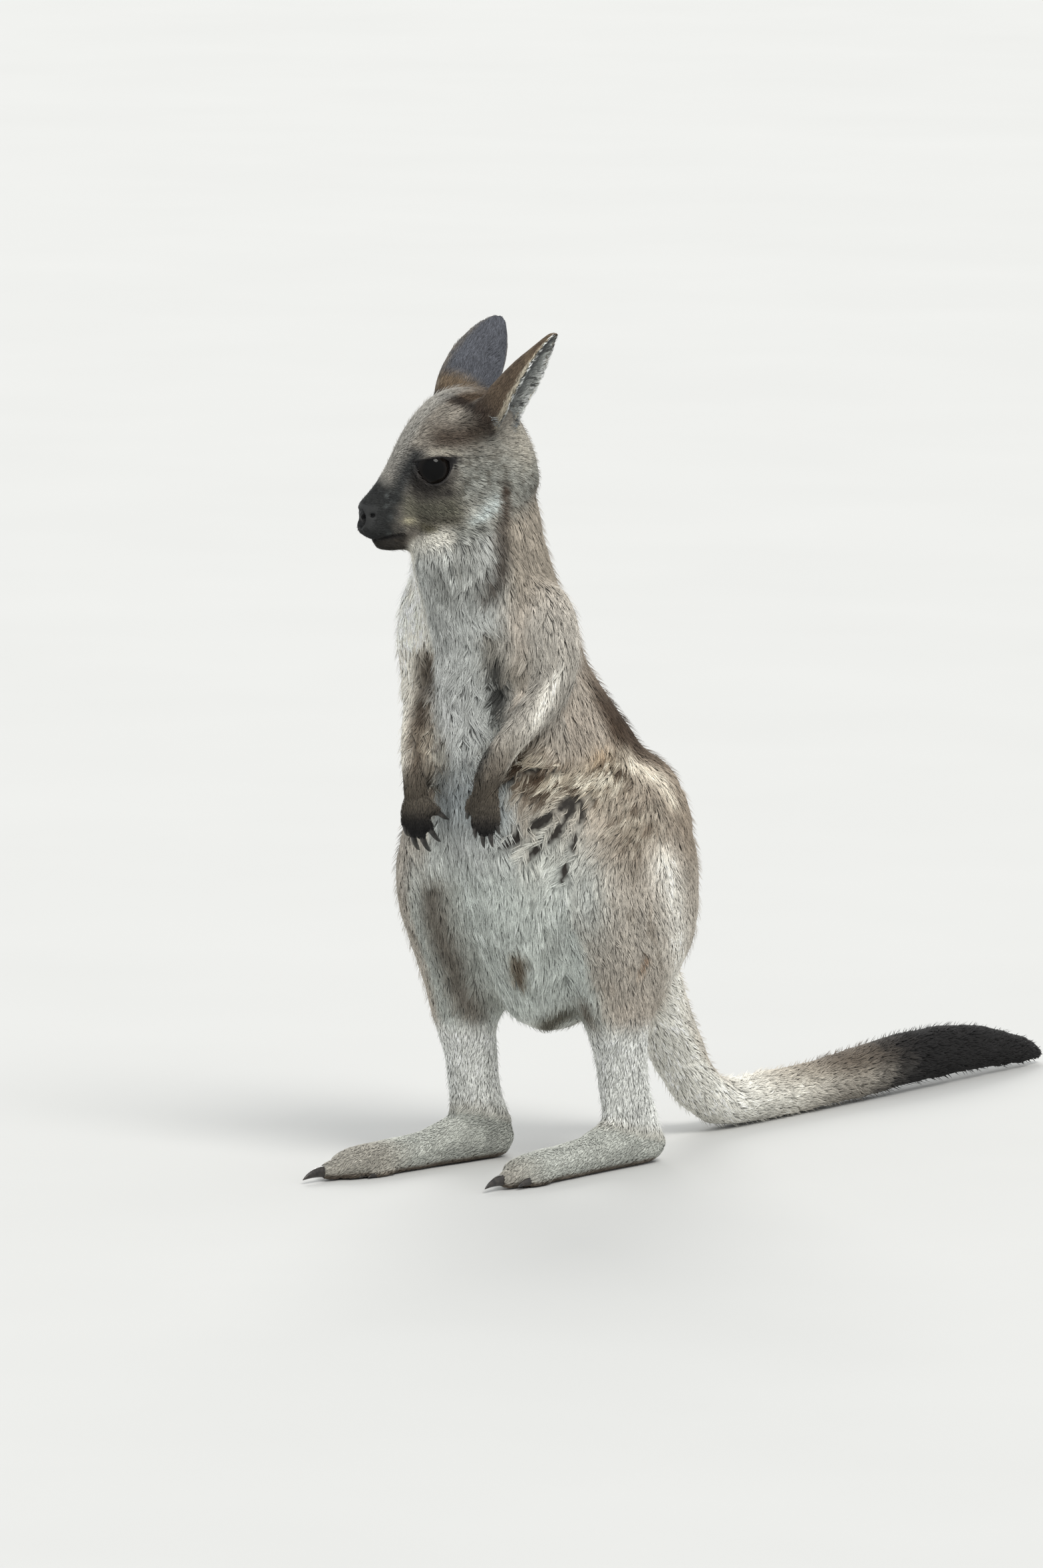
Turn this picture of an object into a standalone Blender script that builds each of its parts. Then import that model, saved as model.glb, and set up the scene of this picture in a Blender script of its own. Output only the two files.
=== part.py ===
"""Grey kangaroo, a furred young at heel, standing upright on both hind feet and its tail.

A still, life-size model.  +Z is up, the chest faces -Y and the animal's left side is +X.  The origin
is on the floor, in the middle of the ground plan.  Every size below is in millimetres, as the coat's
outer surface, measured from the point on the floor under the middle of the rump, and is turned into
metres by MM; the last step moves the whole model to its origin.

The body is modelled whole, as lofted forms fused into one surface, and is then parted by thin plane
cuts into head, neck, trunk, limb and tail nodes.  Ears, eyes, nose and claws are nodes of their own,
each set in a socket cut to its shape.
"""

import math

import bmesh
import bpy
import numpy as np
from mathutils import Matrix, Vector

MM = 0.001
GAP = 0.3                       # clear gap between neighbouring nodes
OBJECT_NAME = "Grey_Kangaroo"

# ---- driving dimensions -------------------------------------------------------------------------
HEEL = {"left": (45.0, 46.0), "right": (-50.0, 9.0)}    # the right foot stands a little ahead
FOOT_TURNOUT = {"left": -1.0, "right": 8.0}      # degrees away from straight ahead
HEAD_CENTRE = Vector((-10.0, -68.0, 470.0))      # middle of the brain case
HEAD_YAW = 40.0                 # degrees, turned to the animal's right
EYE_RADIUS = 13.0
EYE = (33.5, 17.5, 466.0)        # ahead of the brain case's middle, sideways, height
NOSE = (79.0, 0.0, 433.5)       # the same
EAR_LENGTH = 78.0
EAR_WIDTH = 37.0
EAR_THICKNESS = 2.2
EAR_ROOT = 9.0                  # depth of the ear's tube in the head
EAR_HOLLOW = 2.5                # bow of the blade along its length
CLAW_ROOT = 2.2                 # depth of a claw in its digit
FLOOR_SINK = 1.6                # how far a sole reaches below the floor before it is cut flat
WAIST = 288.0                   # height of the cut between chest and belly
HIP_HEIGHT = 220.0

# ---- surface resolution -------------------------------------------------------------------------
VOXEL = 2.1                     # the fused surface, before it is thinned
SOFTEN_PASSES = 26
FINE_TRIANGLES = 2350           # whole body, thinned so that head, hands and feet keep most
PLAIN_TRIANGLES = 2000          # whole body, thinned alike everywhere, for the plain masses
FINE_KEPT = 0.28                # how much of the thinning they are spared
RING_SIDES = 24
FINE_NODES = ("head", "forearm_left", "forearm_right", "hand_left", "hand_right",
              "foot_left", "foot_right")

# ---- the sections of the forms ------------------------------------------------------------------
# Trunk and neck: height, middle x, front y, back y, half width.
TRUNK = [
    (87, 0, -8, 16, 9),
    (97, 0, -26, 36, 23),
    (112, 0, -38, 60, 34),
    (135, 0, -54, 78, 44),
    (160, 0, -68, 89, 52),
    (190, 0, -81, 95, 60),
    (220, 0, -89, 96, 66),
    (241, 0, -93, 91, 68),
    (262, 0, -95, 81, 65),
    (284, 0, -96, 61, 59),
    (306, 0, -97, 40, 54),
    (331, 0, -100, 17, 47),
    (356, 0, -106, 3, 44),
    (383, -5, -115, -6, 43),
    (405, -8, -121, -11, 40),
    (426, -9, -112, -17, 37),
    (448, -9, -98, -23, 32),
    (470, -9, -88, -30, 27),
    (484, -9, -76, -44, 14),
]

# Leg from haunch to ankle: height, x from the midline, y from the heel, half width, half depth.
LEG = [
    (274, 38, -20, 16, 24),
    (260, 42, -22, 28, 43),
    (236, 45, -27, 35.5, 60),
    (205, 46, -29, 39.5, 69),
    (175, 46, -26, 39.5, 71),
    (148, 46, -22, 36, 62),
    (127, 46, -24, 30, 49),
    (109, 46, -30, 24, 35),
    (91, 46, -33, 20, 25),
    (72, 45.5, -28, 17.5, 21),
    (50, 45, -23, 15.5, 22),
    (30, 45, -15, 15.5, 25),
    (14, 45, -2, 13.5, 16.5),
]

# Foot, heel to toe: distance ahead of the heel's middle, height of the middle, half width, half height.
FOOT = [
    (-14, 13, 6, 8),
    (-8, 13.5, 12, 13),
    (4, 15, 15, 16.5),
    (22, 17, 15.5, 18.5),
    (42, 14.5, 14.5, 16),
    (70, 11, 14, 12.5),
    (105, 10, 14.5, 11.6),
    (130, 9.3, 14, 10.9),
    (146, 7.8, 11.5, 9.4),
]

# Toes: name, start ahead of heel, sideways offset (outward is positive), length, half width, claw length.
TOES = [
    ("fourth", 128, 1.5, 34, 6.6, 21),
    ("fifth", 122, 10.5, 22, 4.6, 15),
    ("third", 112, -9.5, 20, 2.9, 9),
    ("second", 108, -12.8, 20, 2.6, 8),
]

# Arms: x from the midline, y, z, half width, half depth.
LEFT_ARM = [
    (32, -52, 386, 14, 17),
    (42, -58, 368, 17, 21),
    (49, -60, 347, 15.5, 19),
    (51, -64, 329, 13.5, 15.5),
    (48, -78, 312, 12, 12.5),
    (42, -94, 297, 11.6, 11.4),
    (35, -103, 284, 11, 10.6),
    (29, -107, 271, 10.2, 9.8),
    (26, -109, 262, 9.6, 8.6),
]
RIGHT_ARM = [
    (30, -64, 398, 16, 20),
    (41, -73, 380, 19, 22),
    (49, -76, 353, 16, 19),
    (51, -75, 330, 13, 15),
    (48, -80, 308, 10.5, 11),
    (42, -95, 288, 9.3, 8.8),
    (36, -103, 274, 9, 8.2),
    (32, -106, 263, 8.8, 7.8),
    (30, -107, 256, 8.8, 7.6),
]

# Fingers: sideways place across the knuckles (thumb side positive), drop, length, spread, claw length.
FINGERS = [
    ("first", 8.4, 8, 10, 38, 10),
    ("second", 4.8, 14, 14, 16, 13),
    ("third", 0.6, 16, 17, 3, 15),
    ("fourth", -3.8, 15, 17, -6, 15),
    ("fifth", -7.8, 12, 13, -16, 12),
]
PALM_LENGTH = 19.0
FINGER_RADIUS = 2.8

# Tail: y, height of the middle, half width, half height.
TAIL = [
    (62, 156, 32, 42),
    (96, 124, 27, 31),
    (124, 91, 22.5, 25),
    (147, 60, 19.5, 20.5),
    (170, 33, 17.5, 18.5),
    (200, 18.5, 17, 18),
    (250, 16.2, 16.5, 17.6),
    (310, 16.6, 16.3, 17.6),
    (375, 19.6, 16.4, 18.8),
    (440, 22.3, 16.2, 19.2),
    (500, 20.4, 14.2, 17.0),
    (548, 13.8, 10.2, 12.4),
    (580, 8.0, 5.8, 7.4),
    (592, 5.4, 2.6, 3.6),
]

# Head in its own middle plane: (ahead, height) of the top and of the underside, half width.
HEAD = [
    ((-37, 478), (-42, 448), 16),
    ((-27, 499), (-27, 430), 26),
    ((-10, 514), (-10, 424), 31),
    ((10, 518), (8, 420), 31.5),
    ((27, 513), (20, 417), 29.5),
    ((40, 501), (30, 416), 26),
    ((50, 486), (39, 416), 21.5),
    ((59, 468), (48, 417), 17),
    ((67.5, 455), (56, 417.5), 14),
    ((75, 446.5), (64, 417), 12.2),
    ((80.5, 440), (71, 418), 10.5),
    ((82.5, 435), (76, 424), 7),
]
# Lower jaw: the same.
JAW = [
    ((8, 430), (6, 419), 12),
    ((24, 427), (22, 414), 13),
    ((42, 424), (41, 411.5), 11.5),
    ((56, 420), (56, 410.5), 9.5),
    ((65, 417), (65, 411.5), 7.5),
    ((68.5, 415.5), (68.5, 413), 4),
]
# Rounded swellings on the head: ahead, sideways (both sides), height, radii ahead, sideways and up.
SWELLINGS = [
    (4, 20, 438, 26, 13, 17),       # cheek muscle
    (31, 17, 474, 15, 10, 12),      # rim of the eye socket
    (70, 6.5, 427, 9.5, 6.5, 8),    # upper lip
    (6, 19, 499, 13, 11, 12),       # base of the ear
]

FUR_BROWN = (0.36, 0.30, 0.25, 1.0)
FUR_PALE = (0.62, 0.58, 0.52, 1.0)
FUR_DARK = (0.10, 0.085, 0.075, 1.0)
SKIN_DARK = (0.030, 0.027, 0.027, 1.0)


def new_collection(name):
    collection = bpy.data.collections.new(name)
    bpy.context.scene.collection.children.link(collection)
    return collection


def clear_scene():
    for item in list(bpy.data.objects):
        bpy.data.objects.remove(item, do_unlink=True)
    for mesh in list(bpy.data.meshes):
        bpy.data.meshes.remove(mesh)


def principled(name, colour, roughness, coat=0.0):
    material = bpy.data.materials.new(name)
    material.use_nodes = True
    shader = material.node_tree.nodes["Principled BSDF"]
    shader.inputs["Base Color"].default_value = colour
    shader.inputs["Roughness"].default_value = roughness
    shader.inputs["Metallic"].default_value = 0.0
    shader.inputs["Coat Weight"].default_value = coat
    return material


# ---- lofts --------------------------------------------------------------------------------------
def through(rows, count):
    """Rows of numbers resampled to `count` rows on a smooth curve through every one of them."""
    rows = np.array(rows, dtype=float)
    padded = np.vstack([2 * rows[0] - rows[1], rows, 2 * rows[-1] - rows[-2]])
    out = []
    for place in np.linspace(0, len(rows) - 1, count):
        start = min(int(place), len(rows) - 2)
        t = place - start
        a, b, c, d = padded[start:start + 4]
        curve = 2 * b + (c - a) * t + (2 * a - 5 * b + 4 * c - d) * t * t
        curve = curve + (3 * b - a - 3 * c + d) * t ** 3
        out.append(0.5 * curve)
    return out


def loft(name, rings, sides=RING_SIDES, squareness=1.0):
    """A closed form through rings; a ring is (centre, half-width vector, half-height vector)."""
    bm = bmesh.new()
    loops = []
    for centre, across, up in rings:
        loop = []
        for step in range(sides):
            angle = 2 * math.pi * step / sides
            c = math.copysign(abs(math.cos(angle)) ** squareness, math.cos(angle))
            s = math.copysign(abs(math.sin(angle)) ** squareness, math.sin(angle))
            loop.append(bm.verts.new((Vector(centre) + Vector(across) * c + Vector(up) * s) * MM))
        loops.append(loop)
    for near, far in zip(loops, loops[1:]):
        for i in range(sides):
            j = (i + 1) % sides
            bm.faces.new((near[i], near[j], far[j], far[i]))
    bm.faces.new(loops[0][::-1])
    bm.faces.new(loops[-1])
    return finish_mesh(name, bm)


def finish_mesh(name, bm):
    bmesh.ops.triangulate(bm, faces=bm.faces, quad_method="FIXED")
    bmesh.ops.recalc_face_normals(bm, faces=bm.faces)
    mesh = bpy.data.meshes.new(name)
    bm.to_mesh(mesh)
    bm.free()
    return bpy.data.objects.new(name, mesh)


def ellipsoid(name, centre, axes, radii, segments=20):
    """A sphere stretched by radii along three axes."""
    bm = bmesh.new()
    frame = Matrix([Vector(axis) * radius * MM for axis, radius in zip(axes, radii)]).transposed()
    place = Matrix.Translation(Vector(centre) * MM) @ frame.to_4x4()
    bmesh.ops.create_uvsphere(
        bm, u_segments=segments, v_segments=segments // 2 + 1, radius=1.0, matrix=place)
    return finish_mesh(name, bm)


def limb(name, stations, across, count, sides=RING_SIDES):
    """A loft along a path: a station is x, y, z, half width, half depth; sections face the path."""
    rows = through(stations, count)
    points = [Vector(row[:3]) for row in rows]
    rings = []
    for i, row in enumerate(rows):
        run = points[min(i + 1, count - 1)] - points[max(i - 1, 0)]
        run.normalize()
        side = Vector(across) - run * Vector(across).dot(run)
        side.normalize()
        rings.append((points[i], side * row[3], run.cross(side) * row[4]))
    return loft(name, rings, sides)


# ---- trunk, tail and legs -----------------------------------------------------------------------
def trunk_form():
    rings = []
    for z, x, front, back, half in through(TRUNK, 60):
        centre = (x, (front + back) / 2, z)
        rings.append((centre, (half, 0, 0), (0, (back - front) / 2, 0)))
    return loft("trunk_form", rings, 40)


def tail_form():
    stations = [(0, y, z, half, tall) for y, z, half, tall in TAIL]
    return limb("tail_form", stations, (1, 0, 0), 70)


def foot_frame(side):
    """The heel's middle on the floor, the foot's forward direction and its outward direction."""
    sign = 1 if side == "left" else -1
    heel = Vector((*HEEL[side], 0))
    turn = math.radians(FOOT_TURNOUT[side])
    forward = Vector((sign * math.sin(turn), -math.cos(turn), 0))
    outward = Vector((sign * math.cos(turn), math.sin(turn), 0))
    return heel, forward, outward


def leg_forms(side):
    sign = 1 if side == "left" else -1
    heel, forward, outward = foot_frame(side)
    rings = []
    for z, x, y, half, deep in through(LEG, 48):
        spread = (heel.x - sign * LEG[-1][1]) * max(0.0, 1 - z / HIP_HEIGHT)
        rings.append(((sign * x + spread, heel.y + y, z), (half, 0, 0), (0, deep, 0)))
    forms = [loft("leg_form", rings)]
    rings = []
    for ahead, z, half, tall in through(FOOT, 36):
        rings.append((heel + forward * ahead + Vector((0, 0, z)), outward * half, (0, 0, tall)))
    forms.append(loft("foot_form", rings, squareness=0.85))
    for _, start, offset, length, half, _ in TOES:
        root = heel + forward * start + outward * offset
        high = half * 1.25 - FLOOR_SINK * 0.5
        stations = [
            (*(root + Vector((0, 0, high))), half, half * 1.2),
            (*(root + forward * length * 0.55 + Vector((0, 0, high * 0.95))), half * 1.05, half * 1.15),
            (*(root + forward * length * 0.9 + Vector((0, 0, high * 0.85))), half * 0.85, half * 0.9),
            (*(root + forward * length + Vector((0, 0, high * 0.8))), half * 0.4, half * 0.4),
        ]
        forms.append(limb("toe_form", stations, outward, 12, 16))
    return forms


# ---- arms and hands -----------------------------------------------------------------------------
def hand_frame(side):
    """Wrist, downward, thumb-side and palm directions of a hanging hand."""
    sign = 1 if side == "left" else -1
    x, y, z = (LEFT_ARM if side == "left" else RIGHT_ARM)[-1][:3]
    down = Vector((sign * -0.06, 0.02 if side == "left" else -0.04, -1)).normalized()
    thumb = Vector((sign * -0.95, 0.30, 0)).normalized()
    thumb = (thumb - down * thumb.dot(down)).normalized()
    palm = thumb.cross(down)
    if palm.y < 0:
        palm.negate()
    return Vector((sign * x, y, z)), down, thumb, palm


def finger_path(side, place, drop, length, spread):
    """Points down a bent finger and the direction in which its claw leaves."""
    wrist, down, thumb, palm = hand_frame(side)
    fan = math.radians(spread)
    reach = down * math.cos(fan) + thumb * math.sin(fan)
    start = wrist + thumb * place * 0.9 + down * drop
    points = [start]
    bend = 0.0
    for _ in range(4):
        bend += math.radians(9)
        points.append(points[-1] + (reach * math.cos(bend) + palm * math.sin(bend)) * length / 4)
    leave = (reach * math.cos(bend) + palm * math.sin(bend)).normalized()
    return points, leave, thumb, palm


def arm_forms(side):
    sign = 1 if side == "left" else -1
    rows = [(sign * x, y, z, a, b) for x, y, z, a, b in (LEFT_ARM if side == "left" else RIGHT_ARM)]
    forms = [limb("arm_form", rows, (1, 0, 0), 40)]
    wrist, down, thumb, palm = hand_frame(side)
    palm_rows = [(-6, 7.4, 7.0), (2, 8.6, 6.2), (PALM_LENGTH * 0.7, 9.6, 5.4), (PALM_LENGTH, 8.6, 4.2)]
    rings = []
    for along, half, thick in through(palm_rows, 14):
        rings.append((wrist + down * along, thumb * half, palm * thick))
    forms.append(loft("palm_form", rings))
    for _, place, drop, length, spread, _ in FINGERS:
        points, _, thumb_way, _ = finger_path(side, place, drop, length, spread)
        radii = [1.1, 1.08, 1.0, 0.95, 0.72]
        rows = [(*p, FINGER_RADIUS * r, FINGER_RADIUS * r) for p, r in zip(points, radii)]
        forms.append(limb("finger_form", rows, thumb_way, 12, 12))
    return forms


# ---- head ---------------------------------------------------------------------------------------
YAW = math.radians(HEAD_YAW)
AHEAD = Vector((-math.sin(YAW), -math.cos(YAW), 0))
HEAD_LEFT = Vector((math.cos(YAW), -math.sin(YAW), 0))


def head_point(ahead, sideways, height):
    place = HEAD_CENTRE + AHEAD * ahead + HEAD_LEFT * sideways
    return Vector((place.x, place.y, height))


def profile_loft(name, sections, count, squareness):
    rows = [(*top, *under, half) for top, under, half in sections]
    rings = []
    for ahead_top, z_top, ahead_low, z_low, half in through(rows, count):
        top = head_point(ahead_top, 0, z_top)
        under = head_point(ahead_low, 0, z_low)
        rings.append(((top + under) / 2, HEAD_LEFT * half, (top - under) / 2))
    return loft(name, rings, 32, squareness)


def head_forms():
    forms = [
        profile_loft("skull_form", HEAD, 48, 0.92),
        profile_loft("jaw_form", JAW, 24, 0.9),
    ]
    axes = (AHEAD, HEAD_LEFT, Vector((0, 0, 1)))
    for ahead, sideways, height, *radii in SWELLINGS:
        for sign in (1, -1):
            centre = head_point(ahead, sign * sideways, height)
            forms.append(ellipsoid("swelling_form", centre, axes, radii))
    return forms


# ---- ears, eyes, nose and claws -----------------------------------------------------------------
EARS = {
    "left": {
        "root": (-2, 23, 494),
        "reach": (-40, 23, 60),
        "opening": (-0.72, 0.55, -0.35),
    },
    "right": {
        "root": (9, -19, 500),
        "reach": (-38, -31, 55),
        "opening": (-0.10, -0.98, 0.05),
    },
}


def head_direction(ahead, sideways, up):
    return AHEAD * ahead + HEAD_LEFT * sideways + Vector((0, 0, up))


def ear_shell(name, side, extra=0.0):
    """A cupped leaf: a tube at its root that opens into a broad, shallow blade with a blunt tip."""
    shape = EARS[side]
    axis = head_direction(*shape["reach"]).normalized()
    opening = head_direction(*shape["opening"])
    opening = (opening - axis * opening.dot(axis)).normalized()
    edge = axis.cross(opening)
    root = head_point(*shape["root"]) - axis * EAR_ROOT
    along_steps = 10
    around_steps = 8
    bm = bmesh.new()
    layers = []
    for layer in (0, 1):
        grid = []
        for i in range(along_steps + 1):
            s = i / along_steps
            wide = EAR_WIDTH / 2 * (0.60 + 0.42 * math.sin(math.pi * s ** 0.85))
            wide *= math.sqrt(max(1 - s ** 6, 0.0)) * 0.97 + 0.03
            deep = wide * (0.92 - 0.42 * s)
            thick = EAR_THICKNESS * (1.3 - 0.6 * s)
            sweep = math.radians(158 - 78 * s ** 0.6)
            centre = root + axis * (EAR_LENGTH + EAR_ROOT - 2) * s
            centre += opening * (EAR_HOLLOW * math.sin(math.pi * s))
            if i == 0:
                centre -= axis * extra
            grow = extra if layer == 0 else -thick - extra
            half = max(wide + grow, 0.35)
            bulge = max(deep + grow, 0.25)
            row = []
            for j in range(around_steps + 1):
                turn = sweep * (2 * j / around_steps - 1)
                spot = centre + edge * half * math.sin(turn) - opening * bulge * math.cos(turn)
                if j in (0, around_steps):
                    onward = edge * half * math.cos(turn) + opening * bulge * math.sin(turn)
                    spot += onward.normalized() * math.copysign(extra * 1.5, turn)
                row.append(bm.verts.new(spot * MM))
            grid.append(row)
        layers.append(grid)
    outer, inner = layers
    for i in range(along_steps):
        for j in range(around_steps):
            for grid in layers:
                bm.faces.new((grid[i][j], grid[i][j + 1], grid[i + 1][j + 1], grid[i + 1][j]))
        for j in (0, around_steps):
            bm.faces.new((outer[i][j], inner[i][j], inner[i + 1][j], outer[i + 1][j]))
    for i in (0, along_steps):
        for j in range(around_steps):
            bm.faces.new((outer[i][j], inner[i][j], inner[i][j + 1], outer[i][j + 1]))
    return finish_mesh(name, bm)


def eye_ball(name, side, extra=0.0):
    sign = 1 if side == "left" else -1
    centre = head_point(EYE[0], sign * EYE[1], EYE[2])
    radius = EYE_RADIUS + extra
    return ellipsoid(name, centre, (AHEAD, Vector((0, 0, 1)), HEAD_LEFT), (radius,) * 3, 14)


def nose_pad(name, extra=0.0):
    tilt = head_direction(0.80, 0, -0.60)
    lift = head_direction(0.60, 0, 0.80)
    radii = (5.6 + extra, 9.2 + extra, 7.2 + extra)
    return ellipsoid(name, head_point(*NOSE), (tilt, HEAD_LEFT, lift), radii, 12)


def claw(name, root, leave, curl, length, radius, extra=0.0, bend=50.0):
    """A curved, tapered claw whose thick end is set into the digit."""
    count = 4
    rings = []
    spot = Vector(root) - Vector(leave) * (CLAW_ROOT + extra)
    angle = 0.0
    side = Vector(leave).cross(Vector(curl)).normalized()
    for i in range(count):
        run = Vector(leave) * math.cos(angle) + Vector(curl) * math.sin(angle)
        across = run.cross(side).normalized()
        size = radius * (1 - (i / (count - 1)) ** 1.5) + 0.28
        centre = spot + run * (extra if i == count - 1 else 0)
        rings.append((centre, side * (size * 0.72 + extra), across * (size + extra)))
        spot += run * (length + CLAW_ROOT) / (count - 1)
        angle += math.radians(bend) / (count - 1)
    return loft(name, rings, 6)


def toe_claw(side, toe, extra=0.0):
    name, start, offset, length, half, claw_length = toe
    heel, forward, outward = foot_frame(side)
    tip = heel + forward * (start + length - 1.5) + outward * offset
    tip.z = half * 0.95
    leave = (forward + Vector((0, 0, 0.10))).normalized()
    curl = Vector((0, 0, -1))
    label = f"claw_{side}_foot_{name}"
    return claw(label, tip, leave, curl, claw_length, half * 0.52, extra, 34.0)


def finger_claw(side, finger, extra=0.0):
    name, place, drop, length, spread, claw_length = finger
    points, leave, _, palm = finger_path(side, place, drop, length, spread)
    curl = (palm - leave * palm.dot(leave)).normalized()
    label = f"claw_{side}_hand_{name}"
    return claw(label, points[-1], leave, curl, claw_length, FINGER_RADIUS * 0.55, extra, 48.0)


# ---- one body, then its nodes -------------------------------------------------------------------
def evaluated_copy(item, name):
    """The item's mesh with its modifiers applied, as a new object; the old one is removed."""
    graph = bpy.context.evaluated_depsgraph_get()
    mesh = bpy.data.meshes.new_from_object(item.evaluated_get(graph))
    done = bpy.data.objects.new(name, mesh)
    old_mesh = item.data
    bpy.data.objects.remove(item, do_unlink=True)
    bpy.data.meshes.remove(old_mesh)
    return done


def fuse(forms):
    """All the lofted forms as one smooth surface."""
    bm = bmesh.new()
    for form in forms:
        bm.from_mesh(form.data)
        mesh = form.data
        bpy.data.objects.remove(form, do_unlink=True)
        bpy.data.meshes.remove(mesh)
    mesh = bpy.data.meshes.new("body")
    bm.to_mesh(mesh)
    bm.free()
    body = bpy.data.objects.new("body", mesh)
    bpy.context.scene.collection.objects.link(body)
    remesh = body.modifiers.new("Fuse", "REMESH")
    remesh.mode = "VOXEL"
    remesh.voxel_size = VOXEL * MM
    remesh.adaptivity = 0.0
    return evaluated_copy(body, "body_fused")


def detail_at(co):
    """How finely a place is shaped: 1 on muzzle and digits, 0 on the plain masses of the body."""
    ahead = (Vector(co) - HEAD_CENTRE * MM).dot(AHEAD) / MM
    if co.z > 0.405 and ahead > 18:
        return 1.0
    if co.z > 0.43:
        return 0.5
    if co.z < 0.262 and co.y < -0.097 and abs(co.x) < 0.048:
        return 1.0
    if co.z < 0.026 and co.y < -0.060:
        return 0.8
    if co.z < 0.040 and co.y < 0.10:
        return 0.4
    return 0.0


def soften(body):
    """Smooth the joins of the forms, least where the shape is fine."""
    bpy.context.scene.collection.objects.link(body)
    soft = body.vertex_groups.new(name="Soft")
    for vertex in body.data.vertices:
        soft.add([vertex.index], 1 - 0.93 * detail_at(vertex.co), "REPLACE")
    smooth = body.modifiers.new("Soften", "SMOOTH")
    smooth.factor = 0.5
    smooth.iterations = SOFTEN_PASSES
    smooth.vertex_group = "Soft"
    even = body.modifiers.new("Even", "SMOOTH")
    even.factor = 0.5
    even.iterations = 2
    return evaluated_copy(body, "body_soft")


def thinned(body, triangles, kept_detail):
    """A copy of the body with few triangles; kept_detail holds more of them where it is fine."""
    copy = bpy.data.objects.new("body_copy", body.data.copy())
    bpy.context.scene.collection.objects.link(copy)
    coarse = copy.vertex_groups.new(name="Coarse")
    for vertex in copy.data.vertices:
        coarse.add([vertex.index], 1 - kept_detail * detail_at(vertex.co), "REPLACE")
    thin = copy.modifiers.new("Thin", "DECIMATE")
    thin.ratio = triangles / (2 * len(copy.data.polygons))
    thin.use_collapse_triangulate = True
    thin.vertex_group = "Coarse"
    return evaluated_copy(copy, "body_thin")


def half_of(mesh, point, normal, keep_front):
    """The part of a closed mesh on one side of a plane, capped; None when nothing is there."""
    bm = bmesh.new()
    bm.from_mesh(mesh)
    sign = 1 if keep_front else -1
    level = (Vector(point) + Vector(normal) * sign * GAP / 2) * MM
    everything = list(bm.verts) + list(bm.edges) + list(bm.faces)
    cut = bmesh.ops.bisect_plane(
        bm, geom=everything, dist=1e-6, plane_co=level, plane_no=Vector(normal),
        clear_inner=keep_front, clear_outer=not keep_front)
    rim = [item for item in cut["geom_cut"] if isinstance(item, bmesh.types.BMEdge)]
    rim = [edge for edge in rim if edge.is_boundary]
    bmesh.ops.triangle_fill(bm, edges=rim, use_beauty=True, use_dissolve=False)
    bmesh.ops.recalc_face_normals(bm, faces=bm.faces)
    done = bpy.data.meshes.new(mesh.name)
    bm.to_mesh(done)
    bm.free()
    return done


def loose_parts(mesh):
    """A mesh's separate bodies as meshes of their own, largest first."""
    bm = bmesh.new()
    bm.from_mesh(mesh)
    left = set(bm.faces)
    groups = []
    while left:
        front = [left.pop()]
        group = set(front)
        while front:
            face = front.pop()
            for edge in face.edges:
                for other in edge.link_faces:
                    if other in left:
                        left.remove(other)
                        group.add(other)
                        front.append(other)
        groups.append(group)
    groups.sort(key=len, reverse=True)
    parts = []
    for group in groups:
        part = bmesh.new()
        copies = {}
        for face in sorted(group, key=lambda f: f.index):
            corners = []
            for vert in face.verts:
                if vert.index not in copies:
                    copies[vert.index] = part.verts.new(vert.co)
                corners.append(copies[vert.index])
            part.faces.new(corners)
        mesh_part = bpy.data.meshes.new("part")
        part.to_mesh(mesh_part)
        part.free()
        parts.append(mesh_part)
    bm.free()
    return parts


def middle(mesh):
    points = np.array([vertex.co for vertex in mesh.vertices])
    return Vector((points.max(axis=0) + points.min(axis=0)) / 2) / MM


def split(mesh, point, normal):
    """Both sides of a plane cut, with the gap between them: (front bodies, back bodies)."""
    unit = Vector(normal).normalized()
    front = loose_parts(half_of(mesh, point, unit, True))
    back = loose_parts(half_of(mesh, point, unit, False))
    return front, back


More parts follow.
